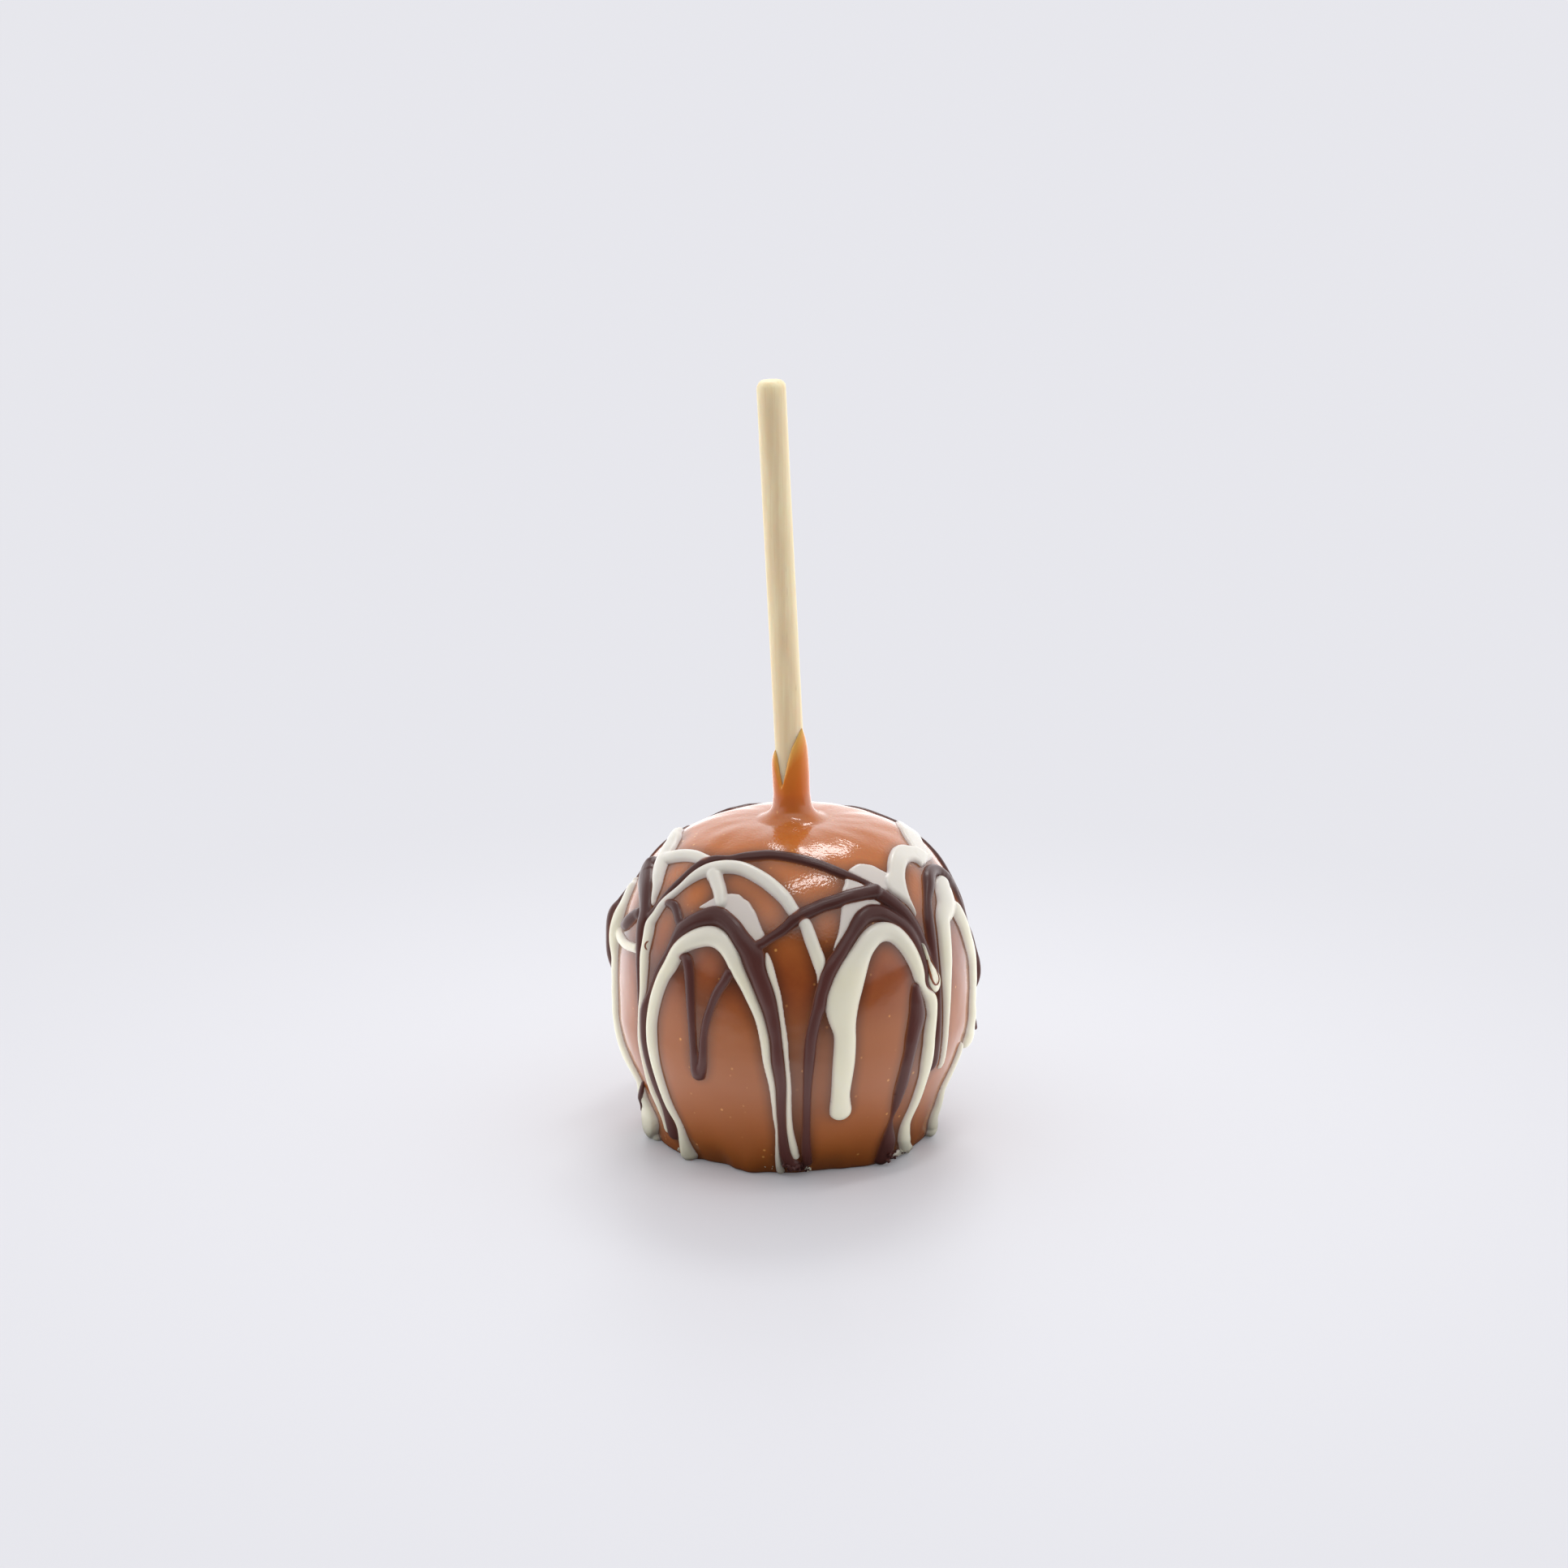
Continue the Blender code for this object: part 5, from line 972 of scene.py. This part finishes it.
def makeCaramel():
    c, k = coatSizes, collarSizes
    columns, rows = c['columns'], c['rows']
    a = np.arange(columns) * 2 * math.pi / columns
    rings = []
    foot = coatPoints(a, 0 * a)
    flat = foot.copy()
    flat[:, :2] *= 1 - c['footFillet'] / np.linalg.norm(foot[:, :2], axis=1, keepdims=True)
    flat[:, 2] = 0
    for share in c['underside']:
        rings.append(flat * share)
    bend = flat * 0.3 + foot * 0.7  # the middle of the small round at the foot
    bend[:, 2] = c['footFillet'] * 0.25
    rings.append(bend)
    for j in range(rows + 1):
        s = c['footFillet'] + (profileLength - c['footFillet']) * j / rows
        relief = [noise.noise(Vector(p) * c['reliefScale']) for p in coatPoints(a, s + 0 * a)]
        quiet = min(1.0, s / c['calmFoot']) * min(1.0, (profileLength - s) / c['calmCrown'])
        rings.append(coatPoints(a, s + 0 * a, coatSwells(a, s) + np.array(relief) * c['relief'] * quiet))

    # the collar: it flares out of the crown, climbs the stick and thins out to its uneven edge
    outer, bore = k['outerRadius'], stickSizes['radius']
    for rise in k['rises']:
        radius = outer + (c['crownRadius'] - outer) * math.exp(-rise / k['flare'])
        rings.append(roundStick(a, c['crownHeight'] + rise, radius * (1 + k['lump'] * np.sin(3 * a + 1.3))))
    start = c['crownHeight'] + k['rises'][-1]
    edge = soften(np.interp(wrapDegrees(a), *zip(*k['edge'])), k['edgeSoftness'], 'wrap')
    narrowing = outer - k['taper'] - bore - k['tipThickness']
    for share in np.linspace(0, 1, k['rings'] + 1)[1:]:
        z = start + (edge - start) * share
        thin = max(0, (share - k['thinFrom']) / (1 - k['thinFrom']))
        radius = outer - k['taper'] * share - narrowing * thin ** k['thinPower']
        rings.append(roundStick(a, z, radius + k['wobble'] * np.sin(2 * a + z * 0.5)))
    for drop, inset in k['lip']:
        rings.append(roundStick(a, edge - drop, bore + inset))
    points = np.concatenate(rings)
    faces = ringFaces(columns, len(rings)).tolist()
    centre = len(points)
    inner = len(points) - columns
    points = np.vstack([points, [[0, 0, 0]], stickAxis(k['closedAt'])[None]])
    for i in range(columns):
        j = (i + 1) % columns
        faces.append((j, i, centre))
        faces.append((inner + i, inner + j, centre + 1))
    piece = addPiece('caramelCoat', points, faces, caramelMaterial(), 'coated_apple')
    rise = ((points[:, 2] - c['crownHeight'] - 0.5) / k['glowRise']).clip(0, 1)
    edges = np.append(np.tile(edge, len(rings)), [start + 1, start + 1])
    up = ((points[:, 2] - start) / (edges - start)).clip(0, 1)
    setValues(piece, 'thinness', k['glowShare'] * rise + (1 - k['glowShare']) * up)
    around = np.arctan2(points[:, 0], -points[:, 1])
    setValues(piece, 'drizzleShadeMask', onGrid(drizzleShadeMask(), around, profileFromHeight(points[:, 2])))
    return piece


caramel = makeCaramel()


def makeDrizzle(colour, name, material):
    # keep the squares that rise out of the coat anywhere, and let their outer corners sink into it
    d, field = drizzleSizes, heights[colour]
    s = np.arange(gridRows) * cell
    field = np.minimum(field, (s * d['footSlope'] - d['root'])[:, None])
    above = field > d['blendFrom']
    beside = np.roll(above, -1, 1)
    square = above[:-1] | above[1:] | beside[:-1] | beside[1:]
    used = np.zeros_like(above)
    for cornerRows in (slice(None, -1), slice(1, None)):
        for turned in (0, 1):
            used[cornerRows] |= np.roll(square, turned, 1)
    number = np.full(above.shape, -1)
    jj, ii = np.nonzero(used)
    number[jj, ii] = np.arange(len(jj))

    # corners close to the edge move on to it, so that the edge runs smoothly across the squares
    slopeA = (np.roll(field, -1, 1) - np.roll(field, 1, 1)) / (2 * gridTurn * gridRadii[:, None])
    slopeS = np.gradient(field, cell, axis=0)
    steep = slopeA ** 2 + slopeS ** 2 + 1e-9
    near = np.abs(field) < 0.5 * cell * np.sqrt(steep)
    shift = np.where(near, -field / steep, 0)
    a = ii * gridTurn + (shift * slopeA / gridRadii[:, None])[jj, ii]
    upward = jj * cell + (shift * slopeS)[jj, ii]
    lift = np.where(near, -d['sunk'], np.maximum(field, -d['root']))[jj, ii]
    points = coatPoints(a, upward, lift + coatSwells(a, upward))
    points[:, 2] = np.maximum(points[:, 2], d['lowest'])
    qj, qi = np.nonzero(square)
    qk = (qi + 1) % gridColumns
    faces = [number[qj, qi], number[qj, qk], number[qj + 1, qk], number[qj + 1, qi]]
    faces = np.stack(faces, axis=1).tolist()
    piece = addPiece(name, points, faces, material, 'coated_apple')
    layer = piece.data.uv_layers.new(name='strand')
    corners = np.zeros(len(piece.data.loops), dtype=np.int32)
    piece.data.loops.foreach_get('vertex_index', corners)
    u, v = (way[colour][jj, ii][corners] * scale for way, scale in zip((along, across), d['streaks']))
    layer.data.foreach_set('uv', np.stack([u, v], axis=1).astype(np.float32).ravel())
    other = heights['dark' if colour == 'white' else 'white']
    thick = np.where(near, 0, field - np.maximum(other, 0))
    setValues(piece, 'thickness', thick[jj, ii].clip(0, 2))
    return piece


whiteDrizzle = makeDrizzle('white', 'whiteDrizzle', chocolateMaterial('whiteChocolate', whiteLook))
darkDrizzle = makeDrizzle('dark', 'darkDrizzle', chocolateMaterial('darkChocolate', darkLook))


def makeStick():
    k = stickSizes
    way = stickAxis(100) - stickAxis(0)
    way /= np.linalg.norm(way)
    acrossWay = np.array([1, 0, 0]) - way * way[0]
    acrossWay /= np.linalg.norm(acrossWay)
    depthWay = np.cross(way, acrossWay)
    a = np.arange(k['sides']) * 2 * math.pi / k['sides']
    spoke = np.cos(a)[:, None] * acrossWay + np.sin(a)[:, None] * depthWay
    end = k['top'] - k['length'] * math.cos(k['lean'])
    uneven = sum(depth * np.sin(turns * a + phase) for turns, phase, depth in k['uneven'])
    rings = [stickAxis(end) + spoke * (k['radius'] - k['lowerBevel'])]
    above, below = k['between']  # the shaft's rings keep off both ends
    shaft = np.linspace(end + above, k['top'] - below, k['rings'])
    for z in (end + k['lowerBevel'], *shaft):
        radius = k['radius'] + k['outOfRound'] * np.sin(3 * a + 0.08 * z)
        rings.append(stickAxis(z) + spoke * radius[:, None])
    for sunk, bevels, ripple, inset, ragged in k['topRings']:
        drop = uneven * ripple - sunk - k['bevel'] * bevels
        radius = k['radius'] - inset + ragged * uneven
        rings.append(stickAxis(k['top']) + way * drop[:, None] + spoke * radius[:, None])
    rings.append(stickAxis(k['top']) + spoke * k['topMiddle'] + way * (k['topDish'] * uneven)[:, None])
    points = np.concatenate(rings)
    sides = k['sides']
    faces = ringFaces(sides, len(rings)).tolist()
    last = len(points) - sides
    points = np.vstack([points, stickAxis(end)[None], stickAxis(k['top'])[None]])
    for i in range(sides):
        j = (i + 1) % sides
        faces.append((j, i, len(points) - 2))
        faces.append((last + i, last + j, len(points) - 1))
    addPiece('woodenStick', points, faces, woodMaterial(), 'stick')


makeStick()


def topOfDrizzle(a, s):
    # how high the drizzle stands over the coat at a place
    return onGrid(np.maximum(np.maximum(heights['white'], heights['dark']), 0), a, s)


def makeCrumbs(colour, material):
    # small angular flakes that stick to whatever is there
    c = crumbShape
    rng = random.Random(c['seed'])
    sides, levels = c['sides'], len(c['profile'])
    points, faces = [], []
    for middle, halfSize, count, largest in crumbPatches[colour]:
        for _ in range(count):
            turn, out = rng.uniform(0, 2 * math.pi), math.sqrt(rng.random())
            right, up = halfSize[0] * out * math.cos(turn), halfSize[1] * out * math.sin(turn)
            a, s = castOnCoat([(middle[0] + right, middle[1] + up, 1)], colour)[0, :2]
            half = rng.uniform(*c['sizes']) * largest / 2
            base = Vector(coatPoints(a, s, float(topOfDrizzle(a, s)) + half * c['rests']))
            spin = Euler([rng.uniform(0, 6.28) for _ in range(3)]).to_matrix()
            size = Vector((half, half * rng.uniform(*c['wide']), half * rng.uniform(*c['thick'])))
            first = len(points)
            for level, share in enumerate(c['profile']):
                for k in range(sides):
                    around = (k + 0.5 * (level % 2)) * 2 * math.pi / sides
                    wide = share * rng.uniform(*c['ragged'])
                    corner = wide * math.cos(around), wide * math.sin(around), 2 * level / (levels - 1) - 1
                    points.append(base + spin @ (Vector(corner) * size))
            last = first + sides * (levels - 1)
            faces += (ringFaces(sides, levels) + first).tolist()
            faces += [list(range(first, first + sides))[::-1], list(range(last, last + sides))]
    points = np.array(points)
    points[:, 2] = np.maximum(points[:, 2], c['lowest'])
    piece = addPiece(colour + 'Crumbs', points, faces, material, 'coated_apple')
    piece.data.shade_flat()
    setValues(piece, 'thickness', np.full(len(points), 1.0))


def makeDrop(material):
    k = dropSizes
    outline = smoothRoute([(u, v, 1) for u, v in k['outline'] + k['outline'][:1]], k['step'])[:-1, :2]
    start, way = np.array(k['axis'][0]), np.array(k['axis'][1]) - np.array(k['axis'][0])
    share = np.clip(((outline - start) @ way) / (way @ way), 0, 1)
    spine = start + share[:, None] * way
    rings = []
    for out in k['rings']:
        route = spine + (outline - spine) * out
        path = castOnCoat([(u, v, 1) for u, v in route], 'dark')
        if not rings:  # it stands on what lies round its border, which itself sinks in
            under = soften(topOfDrizzle(path[:, 0], path[:, 1]), 6, 'wrap') + k['stands']
        rise = k['rise'] * math.sqrt(1 - out ** 2) - k['skirt'] * (out == 1.0)
        rings.append(coatPoints(path[:, 0], path[:, 1], under + rise))
    count = len(outline)
    points = np.concatenate(rings)
    faces = ringFaces(count, len(rings)).tolist()
    last = len(points) - count
    faces.append([last + i for i in range(count)])
    drop = addPiece('whiteDrop', points, faces, material, 'coated_apple')
    setValues(drop, 'thickness', np.full(len(points), 1.0))
    return drop


def makeThread(name, depth, route, under, material):
    # a thin round strand that lies on the pieces under it, where the camera sees it
    trees = [BVHTree.FromObject(piece, bpy.context.evaluated_depsgraph_get()) for piece in under]
    t = threadShape
    sides, middles, widths = t['sides'], [], []
    for u, v, w in smoothRoute(route, t['step']):
        aim = (Vector((u, 0, 0)) + planeUp * v - eye).normalized()
        hits = [hit for hit in (tree.ray_cast(eye * mm, aim) for tree in trees) if hit[0] is not None]
        if not hits:  # just past the outline: the nearest place on the outline
            reaches = range(*t['reaches'])
            hits = [tree.find_nearest((eye + aim * reach) * mm) for tree in trees for reach in reaches]
        hit = min(hits, key=lambda hit: hit[3])
        middles.append(hit[0] / mm)
        widths.append(w)
    middles = np.stack([soften(column, t['softness']) for column in np.array(middles).T], axis=1)
    way = np.gradient(middles, axis=0)
    way /= np.linalg.norm(way, axis=1, keepdims=True)
    across = np.cross(way, np.array(eye) - middles)
    across /= np.linalg.norm(across, axis=1, keepdims=True)
    up = np.cross(across, way)
    turns = np.arange(sides) * 2 * math.pi / sides
    place = np.arange(len(middles))
    pointed = np.sqrt(np.clip(np.minimum(place, place[::-1]) / t['pointed'], 0.02, 1))
    half = soften(np.array(widths), t['softness']) / 2 * pointed
    spokes = (np.cos(turns)[None, :, None] * across[:, None]
              + t['flatness'] * np.sin(turns)[None, :, None] * up[:, None])
    tube = middles[:, None] + half[:, None, None] * spokes
    faces = ringFaces(sides, len(middles)).tolist()
    faces += [list(range(sides))[::-1], [(len(middles) - 1) * sides + i for i in range(sides)]]
    thread = addPiece(name, tube.reshape(-1, 3), faces, material, 'coated_apple')
    setValues(thread, 'thickness', np.full(len(middles) * sides, depth))


makeCrumbs('dark', darkDrizzle.data.materials[0])
makeCrumbs('white', whiteDrizzle.data.materials[0])
whiteDrop = makeDrop(whiteDrizzle.data.materials[0])
for threadName, thread in threads.items():
    makeThread(threadName, thread['depth'], thread['route'], (caramel, whiteDrizzle, darkDrizzle, whiteDrop),
               darkDrizzle.data.materials[0])


# fade's low end is the painted glow near the apple; bounce and shade set the floor's painted glow and painted
# shade for other rays
stageLook = {
    'floor': (0.66, 0.66, 0.69), 'rough': 0.5, 'reach': 6.0, 'seen': (0.80, 0.80, 0.845),
    'tint': (0.98, 0.98, 1.0), 'fade': (0.04, 0.28, 0.12, 1.0),
    'bounce': ((0, 0.25), (0.45, 0.35), (0.58, 1.2), (1, 1.9)), 'bounceReach': (-0.4, 0.1),
    'shade': 0.03, 'shadeReach': (0.030, 0.062), 'turn': (-0.35, 0.75), 'beside': 0.9,
    'front': ((0, 0.16), (0.5, 0.16), (0.68, 1.6), (0.85, 1.3), (1.0, 0.9)),
    'behind': ((0, 1.7), (0.3, 1.55), (0.5, 1.3), (0.68, 0.7), (1.0, 0.9)),
}


def mixShaders(tree, factor, first, second):
    mix = tree.nodes.new('ShaderNodeMixShader')
    for socket, value in enumerate((factor, first, second)):
        tree.links.new(value, mix.inputs[socket])
    return mix.outputs[0]


def makeFloor():
    # plain and pale, and away from the apple it melts into the background; near the apple a little glow,
    # painted light, lifts the floor's shadow
    k = stageLook
    mesh = bpy.data.meshes.new('paleFloor')
    r = k['reach']
    mesh.from_pydata([(-r, -r, 0), (r, -r, 0), (r, r, 0), (-r, r, 0)], [], [(0, 1, 2, 3)])
    floor = bpy.data.objects.new('paleFloor', mesh)
    bpy.context.scene.collection.objects.link(floor)
    material, tree, shader = newMaterial('paleFloor')
    shader.inputs['Base Color'].default_value = (*k['floor'], 1)
    shader.inputs['Roughness'].default_value = k['rough']
    mesh.materials.append(material)
    place = tree.nodes.new('ShaderNodeTexCoord')
    away = tree.nodes.new('ShaderNodeVectorMath')
    away.operation = 'LENGTH'
    tree.links.new(place.outputs['Object'], away.inputs[0])
    fade = mapped(tree, away.outputs['Value'], *k['fade'], kind='SMOOTHSTEP')
    plain = tree.nodes.new('ShaderNodeEmission')
    plain.inputs['Color'].default_value = (*k['seen'], 1)
    seen = mixShaders(tree, fade, shader.outputs[0], plain.outputs[0])
    # painted light: other rays see the floor glow, dim in front and bright behind, with painted shade near
    # the apple's foot
    bounce = tree.nodes.new('ShaderNodeEmission')  # what the apple mirrors of the bright floor
    depth = mapped(tree, placeAlong(tree, 'Y'), *k['bounceReach'], 0.0, 1.0)
    depth = colourRamp(tree, depth, *k['bounce'])
    shade = mapped(tree, away.outputs['Value'], *k['shadeReach'], k['shade'], 1.0, kind='SMOOTHSTEP')
    bounce.inputs['Color'].default_value = (*k['tint'], 1)
    tree.links.new(mathNode(tree, 'MULTIPLY', depth, shade), bounce.inputs['Strength'])
    rays = tree.nodes.new('ShaderNodeLightPath')
    surface = mixShaders(tree, rays.outputs['Is Camera Ray'], bounce.outputs[0], seen)
    tree.links.new(surface, tree.nodes['Material Output'].inputs['Surface'])


def makeWorld():
    # bright low behind the apple and overhead, dim in front; the camera itself sees one plain tone
    k = stageLook
    world = bpy.data.worlds.new('softRoom')
    bpy.context.scene.world = world
    world.use_nodes = True
    tree = world.node_tree
    back = tree.nodes['Background']
    right, away, up = (placeAlong(tree, axis, 'Generated') for axis in 'XYZ')
    beside = mathNode(tree, 'MULTIPLY', mathNode(tree, 'ABSOLUTE', right), k['beside'])
    depth = mapped(tree, mathNode(tree, 'ADD', away, beside), *k['turn'], 0.0, 1.0)
    front, behind = (colourRamp(tree, up, *k[side]) for side in ('front', 'behind'))
    back.inputs['Color'].default_value = (*k['tint'], 1)
    tree.links.new(blended(tree, depth, front, behind), back.inputs['Strength'])
    seen = tree.nodes.new('ShaderNodeBackground')
    seen.inputs['Color'].default_value = (*k['seen'], 1)
    rays = tree.nodes.new('ShaderNodeLightPath')
    both = mixShaders(tree, rays.outputs['Is Camera Ray'], back.outputs[0], seen.outputs[0])
    tree.links.new(both, tree.nodes['World Output'].inputs['Surface'])


lamps = {
    'overhead': {'place': (0.29, -0.21, 2.07), 'aim': (0.1, 0, 0.05), 'size': (0.88, 0.14), 'power': 6.2},
    'behind': {'place': (0.2, 1.5, 2.05), 'aim': (0, 0, 0.05), 'size': (0.85, 0.5), 'power': 12},
}


def makeLamps():
    for name, k in lamps.items():
        data = bpy.data.lights.new(name, 'AREA')
        data.shape = 'RECTANGLE'
        data.size, data.size_y = k['size']
        data.energy = k['power']
        lamp = bpy.data.objects.new(name, data)
        lamp.location = k['place']
        lamp.rotation_euler = (Vector(k['aim']) - Vector(k['place'])).to_track_quat('-Z', 'Y').to_euler()
        bpy.context.scene.collection.objects.link(lamp)


def makeCamera():
    data = bpy.data.cameras.new('camera')
    data.lens = cameraView['lens']
    data.sensor_width = cameraView['sensor']
    camera = bpy.data.objects.new('camera', data)
    camera.location = cameraView['place']
    camera.rotation_euler = (math.radians(90 - cameraView['pitch']), 0, 0)
    bpy.context.scene.collection.objects.link(camera)
    bpy.context.scene.camera = camera


makeFloor()
makeWorld()
makeLamps()
makeCamera()
bpy.context.scene.view_settings.view_transform = 'Standard'
print('floor, lights and camera set')
